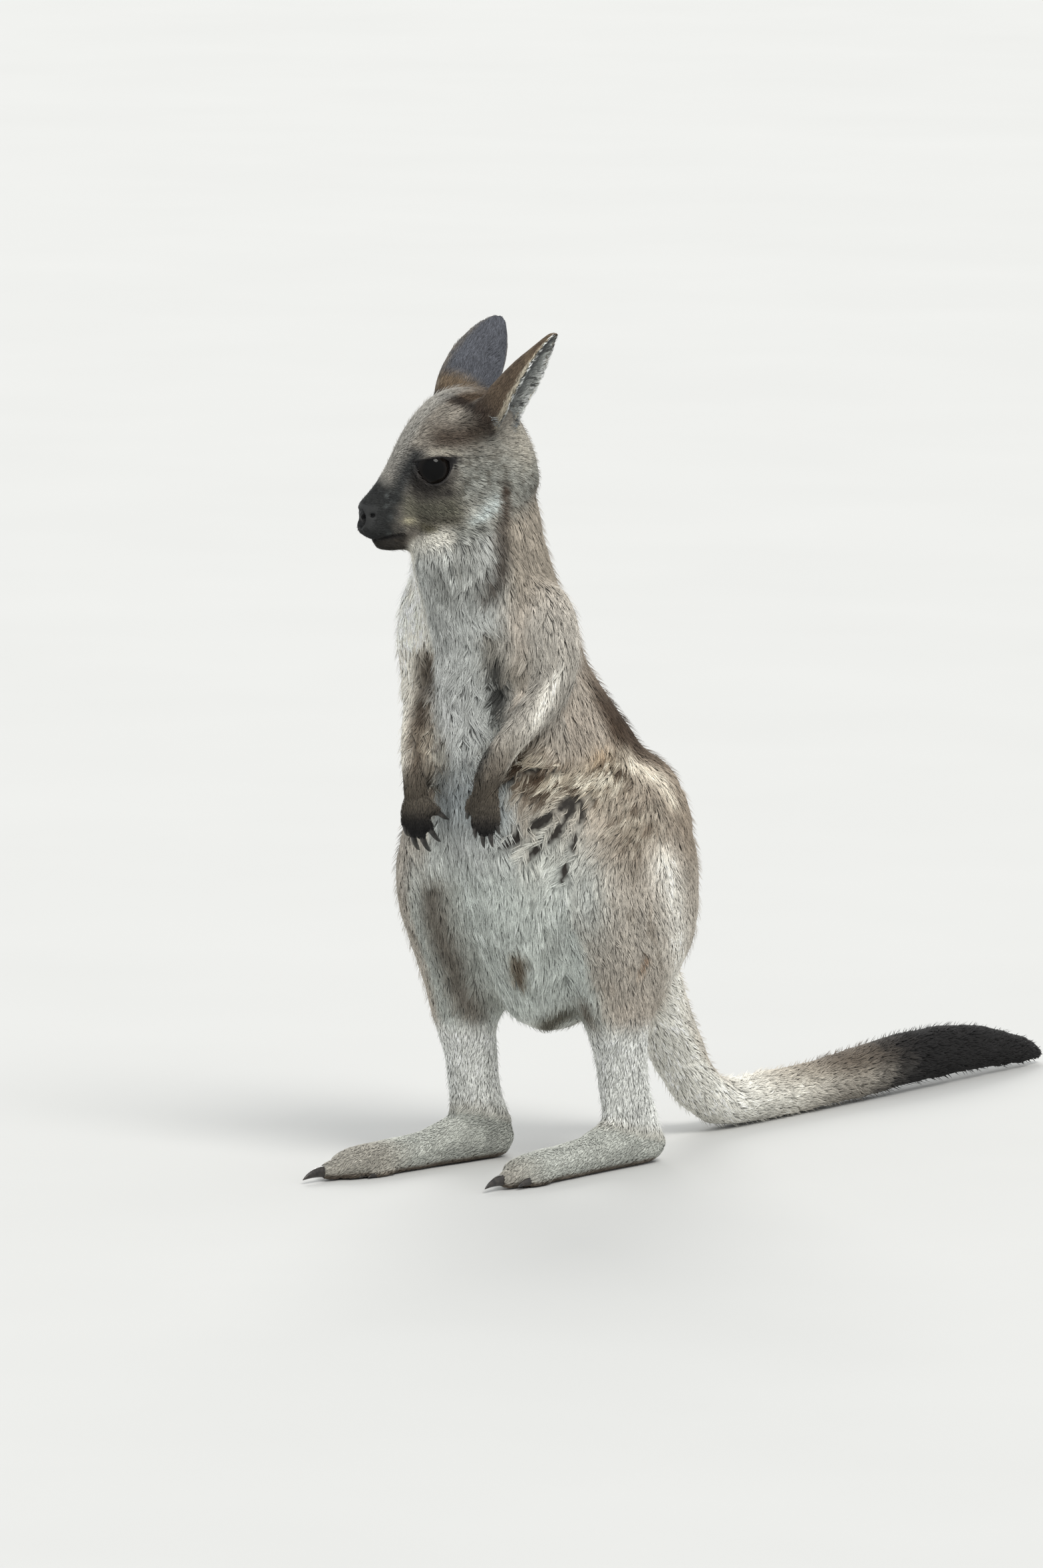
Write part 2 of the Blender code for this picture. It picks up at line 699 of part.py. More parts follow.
def part_the_body(body):
    """Cut the whole body into its nodes; returns {node name: mesh}."""
    nodes = {}
    whole = loose_parts(half_of(body.data, (0, 0, -GAP / 2), Vector((0, 0, 1)), True))[0]
    bpy.data.objects.remove(body, do_unlink=True)

    jaw_angle = head_point(3, 0, 433)
    (head, *_), (rest, *_) = split(whole, jaw_angle, AHEAD * 0.44 + Vector((0, 0, 0.90)))
    nodes["head"] = head
    (neck, *_), (rest, *_) = split(rest, (0, -58, 384), (0, -0.12, 1))
    nodes["neck"] = neck
    (upper, *_), lower_parts = split(rest, (0, 0, WAIST), (0, 0, 1))

    for side, sign in (("left", 1), ("right", -1)):
        armpit = (sign * 41, -66, 340)
        (arm, *_), (upper, *_) = split(upper, armpit, (sign * 0.80, -0.46, -0.22))
        (arm, *_), (elbow, *_) = split(arm, (0, 0, 322), (0, 0, 1))
        nodes[f"upper_arm_{side}"] = arm
        nodes[f"elbow_{side}"] = elbow
    nodes["chest"] = upper

    lower = lower_parts[0]
    for forearm in lower_parts[1:3]:
        side = "left" if middle(forearm).x > 0 else "right"
        wrist, down, _, _ = hand_frame(side)
        hands, shafts = split(forearm, wrist - down, down)
        if hands and shafts:
            nodes[f"forearm_{side}"] = shafts[0]
            nodes[f"hand_{side}"] = hands[0]

    (tail, *_), (lower, *_) = split(lower, (0, 99, 120), (0, 1, 0))
    for number, place in enumerate((170, 262, 365, 470), start=1):
        (rest, *_), (length, *_) = split(tail, (0, place, 0), (0, 1, 0.0))
        nodes[f"tail_{number}"] = length
        tail = rest
    nodes["tail_5"] = tail

    for side, sign in (("left", 1), ("right", -1)):
        crotch = (sign * 17, 0, 85)
        (leg, *_), (lower, *_) = split(lower, crotch, (sign * 0.953, 0, -0.303))
        (thigh, *_), (leg, *_) = split(leg, (0, 0, 104), (0, 0, 1))
        (shank, *_), (foot, *_) = split(leg, (0, foot_frame(side)[0].y, 31), (0, 0.35, 1))
        nodes[f"thigh_{side}"] = thigh
        nodes[f"shank_{side}"] = shank
        nodes[f"foot_{side}"] = foot
    nodes["belly"] = lower
    return nodes


def set_in(host, cutter, cutters):
    """Cut a socket for a set-in piece out of its host."""
    cutter.hide_render = True
    cutter.display_type = "WIRE"
    cutters.objects.link(cutter)
    socket = host.modifiers.new(f"Socket_{cutter.name}", "BOOLEAN")
    socket.operation = "DIFFERENCE"
    socket.solver = "EXACT"
    socket.object = cutter


def to_origin(items, others):
    """Move everything so that the origin is on the floor in the middle of the items' ground plan."""
    corners = np.array([vertex.co for item in items for vertex in item.data.vertices])
    low, high = corners.min(axis=0), corners.max(axis=0)
    shift = Matrix.Translation((-(low[0] + high[0]) / 2, -(low[1] + high[1]) / 2, -low[2]))
    for item in (*items, *others):
        item.data.transform(shift)


def build():
    clear_scene()
    parts = new_collection(OBJECT_NAME)
    cutters = new_collection("Cutters")
    root = bpy.data.objects.new("kangaroo_root", None)
    parts.objects.link(root)

    brown = principled("Fur_Grey_Brown", FUR_BROWN, 0.9)
    pale = principled("Fur_Pale", FUR_PALE, 0.9)
    dark = principled("Fur_Dark", FUR_DARK, 0.85)
    claw_horn = principled("Claw_Horn", SKIN_DARK, 0.4)
    eye_gloss = principled("Eye_Gloss", SKIN_DARK, 0.05, coat=1.0)
    nose_skin = principled("Nose_Skin", SKIN_DARK, 0.5)
    finish = {
        "belly": pale, "chest": pale, "shank_left": pale, "shank_right": pale,
        "foot_left": pale, "foot_right": pale, "hand_left": dark, "hand_right": dark,
        "tail_4": dark, "tail_5": dark,
    }

    def add(item, material):
        item.data.materials.clear()
        item.data.materials.append(material)
        parts.objects.link(item)
        item.parent = root
        return item

    forms = [trunk_form(), tail_form(), *head_forms()]
    for side in ("left", "right"):
        forms += leg_forms(side)
        forms += arm_forms(side)
    body = soften(fuse(forms))
    fine = part_the_body(thinned(body, FINE_TRIANGLES, FINE_KEPT))
    plain = part_the_body(thinned(body, PLAIN_TRIANGLES, 0))
    made = {}
    for name in fine:
        mesh = fine[name] if name in FINE_NODES else plain[name]
        made[name] = add(bpy.data.objects.new(name, mesh), finish.get(name, brown))

    for side in ("left", "right"):
        add(ear_shell(f"ear_{side}", side), brown)
        set_in(made["head"], ear_shell(f"ear_socket_{side}", side, GAP), cutters)
        add(eye_ball(f"eye_{side}", side), eye_gloss)
        set_in(made["head"], eye_ball(f"eye_socket_{side}", side, GAP), cutters)
        for toe in TOES:
            add(toe_claw(side, toe), claw_horn)
            set_in(made[f"foot_{side}"], toe_claw(side, toe, GAP), cutters)
        for finger in FINGERS:
            add(finger_claw(side, finger), claw_horn)
            set_in(made[f"hand_{side}"], finger_claw(side, finger, GAP), cutters)
    add(nose_pad("nose"), nose_skin)
    set_in(made["head"], nose_pad("nose_socket", GAP), cutters)
    to_origin([item for item in parts.objects if item is not root], list(cutters.objects))


build()
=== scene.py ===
"""Looks of the grey kangaroo young at heel: one skin, its coat, eyes, nose pad, claws and the studio."""

import math

import bmesh
import bpy
import numpy as np
from mathutils import Matrix, Vector
from mathutils.bvhtree import BVHTree
from mathutils.kdtree import KDTree


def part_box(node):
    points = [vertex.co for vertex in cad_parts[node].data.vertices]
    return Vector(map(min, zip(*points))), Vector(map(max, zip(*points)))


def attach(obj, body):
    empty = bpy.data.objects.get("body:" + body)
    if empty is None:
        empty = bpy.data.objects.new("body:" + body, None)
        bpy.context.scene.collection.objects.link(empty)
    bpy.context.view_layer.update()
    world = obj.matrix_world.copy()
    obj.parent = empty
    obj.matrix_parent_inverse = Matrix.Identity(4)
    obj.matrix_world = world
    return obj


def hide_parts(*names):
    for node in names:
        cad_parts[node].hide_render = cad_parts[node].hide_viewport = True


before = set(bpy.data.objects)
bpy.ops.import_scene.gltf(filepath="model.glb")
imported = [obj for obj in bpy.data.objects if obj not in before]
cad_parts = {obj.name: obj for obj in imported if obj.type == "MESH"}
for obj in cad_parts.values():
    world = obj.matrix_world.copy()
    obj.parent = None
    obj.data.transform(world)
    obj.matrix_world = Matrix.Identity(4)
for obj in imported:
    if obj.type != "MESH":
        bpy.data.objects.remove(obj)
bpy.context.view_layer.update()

# Sizes are in millimetres, measured from the floor point under the rump, as in the CAD part.
YAW = math.radians(40)
AHEAD = np.array((-math.sin(YAW), -math.cos(YAW), 0.0))
HEAD_LEFT = np.array((math.cos(YAW), -math.sin(YAW), 0.0))
UP = np.array((0.0, 0.0, 1.0))
HEAD_CENTRE = np.array((-10.0, -68.0, 470.0))
EYE = (33.5, 17.5, 466.0)
EYE_RADIUS = 13.0


def rump_place():
    """The rump's floor point in the row frame, found from the CAD's eyes."""
    corners = [corner for node in ("eye_left", "eye_right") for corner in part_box(node)]
    between_eyes = HEAD_CENTRE + AHEAD * EYE[0]
    place = np.mean(corners, axis=0) * 1000 - between_eyes
    return np.array((place[0], place[1], 0.0))


RUMP = rump_place()
FLESH = ["belly", "chest", "neck", "head", *(f"tail_{i}" for i in range(1, 6))]
for side in ("left", "right"):
    limbs = ("upper_arm", "elbow", "forearm", "hand", "thigh", "shank", "foot")
    FLESH += [f"{part}_{side}" for part in limbs]


def to_row(points):
    """Millimetres from the rump's floor point to metres in the row frame."""
    return (np.asarray(points, float) + RUMP) * 0.001


def to_mm(points):
    return np.asarray(points, float) * 1000 - RUMP


def head_coords(points):
    """Distance ahead of, left of and height of points in the head's own axes, in millimetres."""
    away = points - HEAD_CENTRE
    return away @ AHEAD, away @ HEAD_LEFT, points[:, 2]


def head_point(ahead, sideways, height):
    place = HEAD_CENTRE + AHEAD * ahead + HEAD_LEFT * sideways
    return np.array((place[0], place[1], height))


def head_direction(ahead, sideways, up):
    way = AHEAD * ahead + HEAD_LEFT * sideways + UP * up
    return way / np.linalg.norm(way)


def step(value, low, high):
    """Smooth step from 0 at low to 1 at high."""
    t = np.clip((np.asarray(value, float) - low) / (high - low), 0, 1)
    return t * t * (3 - 2 * t)


def bump(value, centre, width):
    return np.exp(-((np.asarray(value, float) - centre) / width) ** 2)


def unit(vectors):
    return vectors / np.maximum(np.linalg.norm(vectors, axis=-1, keepdims=True), 1e-9)


# ---- ears ---------------------------------------------------------------------------------------
EAR_LENGTH, EAR_WIDTH, EAR_ROOT = 78.0, 37.0, 9.0
EARS = {
    "left": ((-2, 23, 494), (-40, 23, 60), (-0.72, 0.55, -0.35)),
    "right": ((9, -19, 500), (-38, -31, 55), (-0.10, -0.98, 0.05)),
}


def ear_axes(side):
    root, reach, opening = EARS[side]
    axis = head_direction(*reach)
    opening = head_direction(*opening)
    opening = opening - axis * (opening @ axis)
    opening /= np.linalg.norm(opening)
    return head_point(*root) - axis * EAR_ROOT, axis, opening, np.cross(axis, opening)


def ear_spot(side, s, t, lift):
    """A point of the ear.

    s runs from root to tip, t from edge to edge (-1 to 1) and lift is millimetres off the mid shell.
    """
    root, axis, opening, edge = ear_axes(side)
    wide = EAR_WIDTH / 2 * (0.60 + 0.42 * math.sin(math.pi * s ** 0.85))
    wide *= math.sqrt(max(1 - s ** 6, 0.0)) * 0.97 + 0.03
    wide -= 0.6
    deep = wide * (0.92 - 0.42 * s)
    sweep = math.radians(158 - 78 * s ** 0.6)
    turn = sweep * t
    centre = root + axis * (EAR_LENGTH + EAR_ROOT - 2) * s + opening * (2.5 * math.sin(math.pi * s))
    return centre + edge * (wide + lift) * math.sin(turn) - opening * (deep + lift) * math.cos(turn)


def ear_solid(side, along=44, around=40):
    bm = bmesh.new()
    layers = []
    for layer in (0, 1):
        grid = []
        for i in range(along + 1):
            s = i / along
            row = []
            for j in range(around + 1):
                t = 2 * j / around - 1
                thick = 0.85 * (1.3 - 0.55 * s) * (1 - 0.45 * abs(t) ** 4)
                row.append(bm.verts.new(to_row(ear_spot(side, s, t, thick if layer == 0 else -thick))))
            grid.append(row)
        layers.append(grid)
    outer, inner = layers
    for i in range(along):
        for j in range(around):
            bm.faces.new((outer[i][j], outer[i][j + 1], outer[i + 1][j + 1], outer[i + 1][j]))
            bm.faces.new((inner[i][j], inner[i + 1][j], inner[i + 1][j + 1], inner[i][j + 1]))
        for j in (0, around):
            bm.faces.new((outer[i][j], inner[i][j], inner[i + 1][j], outer[i + 1][j]))
    for i in (0, along):
        for j in range(around):
            bm.faces.new((outer[i][j], inner[i][j], inner[i][j + 1], outer[i][j + 1]))
    bmesh.ops.recalc_face_normals(bm, faces=bm.faces)
    return bm


# ---- fingers, toes and claws --------------------------------------------------------------------
WRISTS = {"left": (26, -109, 262), "right": (-30, -107, 256)}
FINGERS = [                     # place across the knuckles, drop, length, spread, claw length
    (8.4, 8, 10, 38, 12),
    (4.8, 14, 14, 14, 16),
    (0.6, 16, 17, 3, 18),
    (-3.8, 15, 17, -5, 18),
    (-7.8, 12, 13, -12, 14),
]
FINGER_NAMES = ("first", "second", "third", "fourth", "fifth")
FINGER_RADIUS = 2.8
CLAW_SHARE = {"left": 0.8, "right": 1.1}
FINGER_SPREAD = {"left": 0.45, "right": 1.0}
HEELS = {"left": (45, 46), "right": (-50, 9)}
TURNOUT = {"left": -1.0, "right": 8.0}
TOES = [                        # start ahead of the heel, sideways, length, half width, claw length
    (128, 1.5, 34, 6.6, 21),
    (122, 10.5, 22, 4.6, 15),
    (112, -9.5, 20, 2.9, 9),
    (108, -12.8, 20, 2.6, 8),
]
TOE_NAMES = ("fourth", "fifth", "third", "second")


def unit_of(*vector):
    vector = np.array(vector, float)
    return vector / np.linalg.norm(vector)


def hand_frame(side):
    """Wrist, downward, thumb-side and palm directions of a hanging hand."""
    sign = 1 if side == "left" else -1
    down = unit_of(sign * -0.06, 0.02 if side == "left" else -0.04, -1)
    thumb = unit_of(-0.90, -0.38, 0) if side == "left" else unit_of(0.95, 0.30, 0)
    thumb = unit_of(*(thumb - down * (thumb @ down)))
    palm = np.cross(thumb, down)
    return np.array(WRISTS[side], float), down, thumb, palm * math.copysign(1, palm[1])


def finger_path(side, finger):
    """Points down a bent finger and the direction in which its claw leaves."""
    place, drop, length, spread, _ = finger
    wrist, down, thumb, palm = hand_frame(side)
    fan = math.radians(spread * FINGER_SPREAD[side])
    reach = down * math.cos(fan) + thumb * math.sin(fan)
    points = [wrist + thumb * place * 0.9 + down * drop]
    bend = 0.0
    for _ in range(4):
        bend += math.radians(5 if side == "left" else 9)
        way = reach * math.cos(bend) + palm * math.sin(bend)
        points.append(points[-1] + way * length / 4)
    return points, way, palm


def foot_frame(side):
    sign = 1 if side == "left" else -1
    turn = math.radians(TURNOUT[side])
    forward = np.array((sign * math.sin(turn), -math.cos(turn), 0))
    outward = np.array((sign * math.cos(turn), math.sin(turn), 0))
    return np.array((*HEELS[side], 0.0)), forward, outward


def add_tube(bm, points, across, widths, depths, sides=12):
    """A closed tube along points; across is the direction of its width."""
    loops = []
    for i, point in enumerate(points):
        run = unit_of(*(np.array(points[min(i + 1, len(points) - 1)]) - points[max(i - 1, 0)]))
        wide = unit_of(*(across - run * (across @ run)))
        deep = np.cross(run, wide)
        loop = []
        for k in range(sides):
            turn = 2 * math.pi * k / sides
            spot = point + wide * widths[i] * math.cos(turn) + deep * depths[i] * math.sin(turn)
            loop.append(bm.verts.new(to_row(spot)))
        loops.append(loop)
    made = []
    for near, far in zip(loops, loops[1:]):
        for k in range(sides):
            m = (k + 1) % sides
            made.append(bm.faces.new((near[k], near[m], far[m], far[k])))
    made.append(bm.faces.new(loops[0][::-1]))
    made.append(bm.faces.new(loops[-1]))
    bmesh.ops.recalc_face_normals(bm, faces=made)
    return loops


def add_palm(bm, side):
    wrist, down, thumb, _ = hand_frame(side)
    rows = ((-9, 8.6, 7.4), (-3, 9.2, 7.0), (3, 9.8, 6.4), (11, 10.2, 5.6), (16, 8.8, 4.4))
    points = [wrist + down * along for along, _, _ in rows]
    add_tube(bm, points, thumb, [row[1] for row in rows], [row[2] for row in rows], 20)


# Along a toe: share of its length, width and height against its own half width.
TOE_SHAPE = ((0, 1, 1.15), (0.3, 1.0, 1.15), (0.6, 1.08, 1.1), (0.85, 0.95, 1.0), (1, 0.6, 0.9))


def add_digits(bm):
    add_palm(bm, "left")
    for side in ("left", "right"):
        thumb = hand_frame(side)[2]
        for finger in FINGERS:
            points, way, _ = finger_path(side, finger)
            knuckle = points[0] - (points[1] - points[0]) * 0.8
            path = [knuckle, *points, points[-1] + way * 1.2]
            sizes = [3.0, 3.2, 3.35, 3.0, 3.15, 2.85, 1.9]
            add_tube(bm, path, thumb, sizes, [size * 0.96 for size in sizes])
        heel, forward, outward = foot_frame(side)
        for start, offset, length, half, _ in TOES:
            path, sizes = [], []
            for share, size, high in TOE_SHAPE:
                spot = heel + forward * (start + length * share) + outward * offset
                path.append(spot + UP * half * high)
                sizes.append(half * size)
            add_tube(bm, path, outward, sizes, sizes, 16)


def add_claw(bm, root, way, curl, length, radius, bend, rings=11, sides=10):
    """A curved, tapered claw, deeper than it is wide, with its thick end set into the digit."""
    side = unit_of(*np.cross(way, curl))
    points, wide, deep = [], [], []
    spot = root - way * 2.2
    for i in range(rings):
        share = i / (rings - 1)
        angle = math.radians(bend) * share
        points.append(spot.copy())
        size = radius * (1 - share ** 1.7) ** 0.9 + 0.16
        wide.append(size * 0.66)
        deep.append(size)
        spot = spot + (way * math.cos(angle) + curl * math.sin(angle)) * (length + 1.8) / (rings - 1)
    add_tube(bm, points, side, wide, deep, sides)


def all_claws():
    bm = bmesh.new()
    nodes = []
    for side in ("left", "right"):
        for name, finger in zip(FINGER_NAMES, FINGERS):
            points, way, palm = finger_path(side, finger)
            curl = unit_of(*(palm - way * (palm @ way)))
            tip = points[-1] + way * 0.6
            add_claw(bm, tip, way, curl, finger[4] * CLAW_SHARE[side], FINGER_RADIUS * 0.95, 44.0)
            nodes.append(f"claw_{side}_hand_{name}")
        heel, forward, outward = foot_frame(side)
        for name, (start, offset, length, half, claw) in zip(TOE_NAMES, TOES):
            tip = heel + forward * (start + length - 1.0) + outward * offset + UP * half * 1.0
            add_claw(bm, tip, unit_of(*(forward + UP * 0.10)), -UP, claw - 0.6, half * 0.56, 32.0)
            nodes.append(f"claw_{side}_foot_{name}")
    return mesh_object("claws", bm), nodes


def mesh_object(name, bm):
    mesh = bpy.data.meshes.new(name)
    bm.to_mesh(mesh)
    bm.free()
    for polygon in mesh.polygons:
        polygon.use_smooth = True
    item = bpy.data.objects.new(name, mesh)
    bpy.context.scene.collection.objects.link(item)
    return item


# ---- the skin -----------------------------------------------------------------------------------
def add_ball(bm, centre, radius, axes=None):
    frame_axes = np.eye(3) if axes is None else np.array(axes)
    place = Matrix.Identity(4)
    for i in range(3):
        for j in range(3):
            place[j][i] = frame_axes[i][j] * (radius[i] if np.ndim(radius) else radius) * 0.001
    where = to_row(centre)
    for j in range(3):
        place[j][3] = where[j]
    bmesh.ops.create_uvsphere(bm, u_segments=40, v_segments=24, radius=1.0, matrix=place)


# Balls that fill out the form: the fur between the far forearm and the chest, and the nape.
PADDING = (
    ((-33, -86, 292), (7.5, 8.5, 30)),
    ((-31, -92, 273), (6.5, 8.5, 21)),
    ((6, -43, 437), (12, 13.5, 22)),
)
# The same for the thick fur round the ears' roots, in the head's own axes.
EAR_PADDING = (((1, 24, 497), (15, 14, 14)), ((9, -18, 500), (13, 12, 12)))


def raw_skin():
    """The flesh nodes, the ears and the filled eye sockets as one closed mesh."""
    bm = bmesh.new()
    for name in FLESH:
        if name != "hand_left":
            bm.from_mesh(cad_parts[name].data)
    bmesh.ops.remove_doubles(bm, verts=bm.verts, dist=1e-6)
    add_digits(bm)
    for place, size in PADDING:
        add_ball(bm, place, size)
    for place, size in EAR_PADDING:
        add_ball(bm, head_point(*place), size, (AHEAD, HEAD_LEFT, UP))
    for side, sign in (("left", 1), ("right", -1)):
        add_ball(bm, head_point(EYE[0], sign * EYE[1], EYE[2]), EYE_RADIUS + 1.0)
        ear = ear_solid(side)
        shell = bpy.data.meshes.new("ear")
        ear.to_mesh(shell)
        ear.free()
        bm.from_mesh(shell)
        bpy.data.meshes.remove(shell)
    mesh = bpy.data.meshes.new("skin")
    bm.to_mesh(mesh)
    bm.free()
    skin = bpy.data.objects.new("skin", mesh)
    bpy.context.scene.collection.objects.link(skin)
    remesh = skin.modifiers.new("One_Skin", "REMESH")
    remesh.mode = "VOXEL"
    remesh.voxel_size = 0.00105
    return skin


def applied(item, name):
    graph = bpy.context.evaluated_depsgraph_get()
    mesh = bpy.data.meshes.new_from_object(item.evaluated_get(graph))
    mesh.name = name
    old = item.data
    bpy.data.objects.remove(item, do_unlink=True)
    bpy.data.meshes.remove(old)
    done = bpy.data.objects.new(name, mesh)
    bpy.context.scene.collection.objects.link(done)
    return done


def positions(mesh):
    co = np.empty(len(mesh.vertices) * 3, np.float32)
    mesh.vertices.foreach_get("co", co)
    return to_mm(co.reshape(-1, 3))


def set_positions(mesh, points):
    mesh.vertices.foreach_set("co", to_row(points).astype(np.float32).ravel())
    mesh.update()


def normals_of(mesh):
    normal = np.empty(len(mesh.vertices) * 3, np.float32)
    mesh.vertex_normals.foreach_get("vector", normal)
    return normal.reshape(-1, 3).astype(float)


def neighbours(mesh):
    edges = np.empty(len(mesh.edges) * 2, np.int32)
    mesh.edges.foreach_get("vertices", edges)
    a, b = edges.reshape(-1, 2).T
    return np.concatenate((a, b)), np.concatenate((b, a))


def smoothed(values, links, passes, share):
    """Each value drawn towards the mean of its neighbours' by its share, pass after pass."""
    ends, others = links
    count = len(values)
    degree = np.maximum(np.bincount(ends, minlength=count), 1)[:, None]
    share = np.broadcast_to(share, count)[:, None]
    for _ in range(passes):
        total = [np.bincount(ends, weights=column[others], minlength=count) for column in values.T]
        values = values + (np.stack(total, axis=1) / degree - values) * share
    return values


def noise(points, size, seed=0):
    """Smooth value noise from -1 to 1 with lumps about `size` across."""
    place = points / size + seed * 7.31
    cell = np.floor(place).astype(np.int64)
    t = place - cell
    t = t * t * (3 - 2 * t)
    total = np.zeros(len(points))
    for corner in range(8):
        shift = np.array([(corner >> k) & 1 for k in range(3)])
        x, y, z = (cell + shift).T
        key = (x * 73856093) ^ (y * 19349663) ^ (z * 83492791) ^ (seed * 2654435761)
        key = ((key ^ (key >> 13)) * 1274126177) & 0x7FFFFFFF
        weight = np.prod(np.where(shift, t, 1 - t), axis=1)
        total += weight * (((key >> 8) & 0xFFFF) / 32767.5 - 1)
    return total


# ---- where things are on the body ---------------------------------------------------------------
def ear_grid():
    """Mid-shell points of both ears with their side, run from the root and place across."""
    spots = []
    for index, side in enumerate(("left", "right")):
        for s in np.linspace(0.04, 1, 34):
            for t in np.linspace(-1, 1, 25):
                spots.append((*ear_spot(side, s, t, 0), index, s, t))
    return np.array(spots)


EAR_SPOTS = ear_grid()
EAR_TREE = KDTree(len(EAR_SPOTS))
for row_index, row in enumerate(EAR_SPOTS):
    EAR_TREE.insert(row[:3], row_index)
EAR_TREE.balance()


EAR_NEAR = 5.5          # a point further than this from an ear's shell belongs to the head
ARM_REACH = 26          # half width of the space that counts as the arm's


def regions(points, normals):
    """Soft memberships and coordinates of points, as a dictionary of arrays."""
    ahead, left, _ = head_coords(points)
    x, y, z = points.T
    out = {"ahead": ahead, "left": left, "aside": np.abs(left), "x": x, "y": y, "z": z}
    near_head = step(-np.hypot(x + 20, y + 85), -75, -62)
    out["head"] = step(z - (431 - 0.42 * ahead), -5, 5) * near_head
    ear = np.zeros(len(points))
    run = np.zeros(len(points))
    across = np.zeros(len(points))
    inside = np.zeros(len(points))
    which = np.zeros(len(points), int)
    for i in np.nonzero(z > 486)[0]:
        _, found, gap = EAR_TREE.find(points[i])
        side, s, t = EAR_SPOTS[found, 3:]
        if gap > EAR_NEAR:
            continue
        which[i] = int(side)
        run[i] = s
        across[i] = t
        _, _, opening, edge = ear_axes("left" if side == 0 else "right")
        turn = math.radians(158 - 78 * s ** 0.6) * t
        outward = edge * math.sin(turn) - opening * math.cos(turn)
        inside[i] = float(normals[i] @ outward < 0)
        ear[i] = (1 - step(gap, 2.6, 5.0)) * step(s, 0.07, 0.18)
    out.update(ear=ear, run=run, across=across, inside=inside, which=which)
    out["tail"] = step(y, 84, 110) * (z < 180)
    low = (y < 84) & (z < 135)
    out["foot"] = low * (1 - step(z + 0.25 * y, 24, 40))
    out["shank"] = low * (1 - step(z, 92, 118)) * (1 - out["foot"])
    out["hand"] = (1 - step(z, 252, 260)) * (y < -98) * (z > 205) * (np.abs(x) < 48) * (np.abs(x) > 8)
    arm = np.abs(np.abs(x) - arm_middle(z)) < ARM_REACH
    out["forearm"] = (z > 250) * (z < 318) * (y < -62) * (np.abs(x) > 19) * arm * front_of_belly(x, y, z)
    return out


def arm_middle(z):
    """How far sideways the middle of the arm is at a height."""
    return np.interp(z, (250, 272, 297, 312, 330, 390), (30, 33, 43, 49, 52, 42))


def front_of_belly(x, y, z):
    """1 for points in front of the trunk's own surface."""
    front = np.interp(z, (220, 262, 284, 318, 350), (-89, -95, -97, -98, -104))
    middle = np.interp(z, (220, 262, 284, 318, 350), (3, -7, -20, -34, -50))
    half = np.interp(z, (220, 262, 284, 318, 350), (66, 65, 59, 50, 44))
    away = np.hypot(x / half, np.minimum(y - middle, 0) / (middle - front))
    return (away > 1.03).astype(float)


def coat_depth(where):
    """How far the skin lies inside the coat's outline, in millimetres."""
    depth = 3.2 + 0 * where["z"]
    depth = depth * (1 - where["shank"]) + 2.0 * where["shank"]
    depth = depth * (1 - where["foot"]) + 1.0 * where["foot"]
    depth = depth * (1 - where["hand"]) + 0.5 * where["hand"]
    depth = depth * (1 - where["forearm"]) + 1.6 * where["forearm"]
    tail = 2.6 - 1.4 * step(where["y"], 480, 590)
    depth = depth * (1 - where["tail"]) + tail * where["tail"]
    face = 1.9 - 1.2 * step(where["ahead"], 20, 62)
    depth = depth * (1 - where["head"]) + face * where["head"]
    return depth * (1 - where["ear"]) + 0.1 * where["ear"]


def fineness(where):
    """1 where the form is fine: ears, muzzle and hands; 0 on the plain body."""
    fine = np.maximum(where["ear"], 0.985 * where["hand"])
    fine = np.maximum(fine, where["head"] * (0.66 + 0.22 * step(where["ahead"], 20, 60)))
    return np.maximum(fine, where["foot"] * (0.72 + 0.23 * (where["y"] < -65)))


# ---- folds of the face --------------------------------------------------------------------------
def eye_opening(ahead, height):
    """Millimetres inside (positive) or outside (negative) the lids' edge, seen from the side."""
    u = np.clip((ahead - EYE[0] - 0.6) / 11.4, -1, 1)
    corner = 4.4 - 1.0 * u
    arch = np.sqrt(np.maximum(1 - u * u, 0))
    top = corner + 1.6 * arch ** 0.8
    under = corner - 12.8 * arch ** 1.1
    rise = height - EYE[2]
    ends = 11.4 - np.abs(ahead - EYE[0] - 0.6)
    return np.minimum(np.minimum(top - rise, rise - under), ends)


def shape_face(points, normals):
    """Lids over the eyeballs, the nostrils' wings, the line of the mouth and the brow."""
    ahead, left, height = head_coords(points)
    for sign in (1, -1):
        centre = head_point(EYE[0], sign * EYE[1], EYE[2])
        out = points - centre
        far = np.linalg.norm(out, axis=1)
        outward = (out @ HEAD_LEFT) * sign
        near = (far < 19) & (outward > 1.5)
        gap = eye_opening(ahead, height)
        lid = EYE_RADIUS + 1.15
        well = EYE_RADIUS - 1.4
        wall = np.where(gap > 0, well, well + (lid - well) * step(-gap, 0.0, 0.9))
        rim = np.where(gap < 0, np.maximum(far, wall), wall)
        moved = centre + out / np.maximum(far, 1e-6)[:, None] * rim[:, None]
        edge = near & (far < lid + 5.0)
        points = np.where(edge[:, None], moved, points)
    mouth = mouth_gap(ahead, height)
    lips = (np.abs(left) < 16) & (ahead > 47)
    groove = lips * 1.5 * np.exp(-(mouth / 0.85) ** 2) * step(ahead, 49, 54)
    side = np.abs(left)
    nostril = np.hypot((ahead - 72.0) / 1.9, (height - 435.4) / 1.35)
    pit = 2.4 * np.exp(-nostril ** 2) * (side > 5)
    return points - normals * (groove + pit)[:, None]


def mouth_gap(ahead, height):
    """Height above the line where the lips meet."""
    line = np.interp(ahead, (48, 54, 60, 67, 71), (424.5, 422.4, 421.0, 419.4, 418.4))
    return height - line


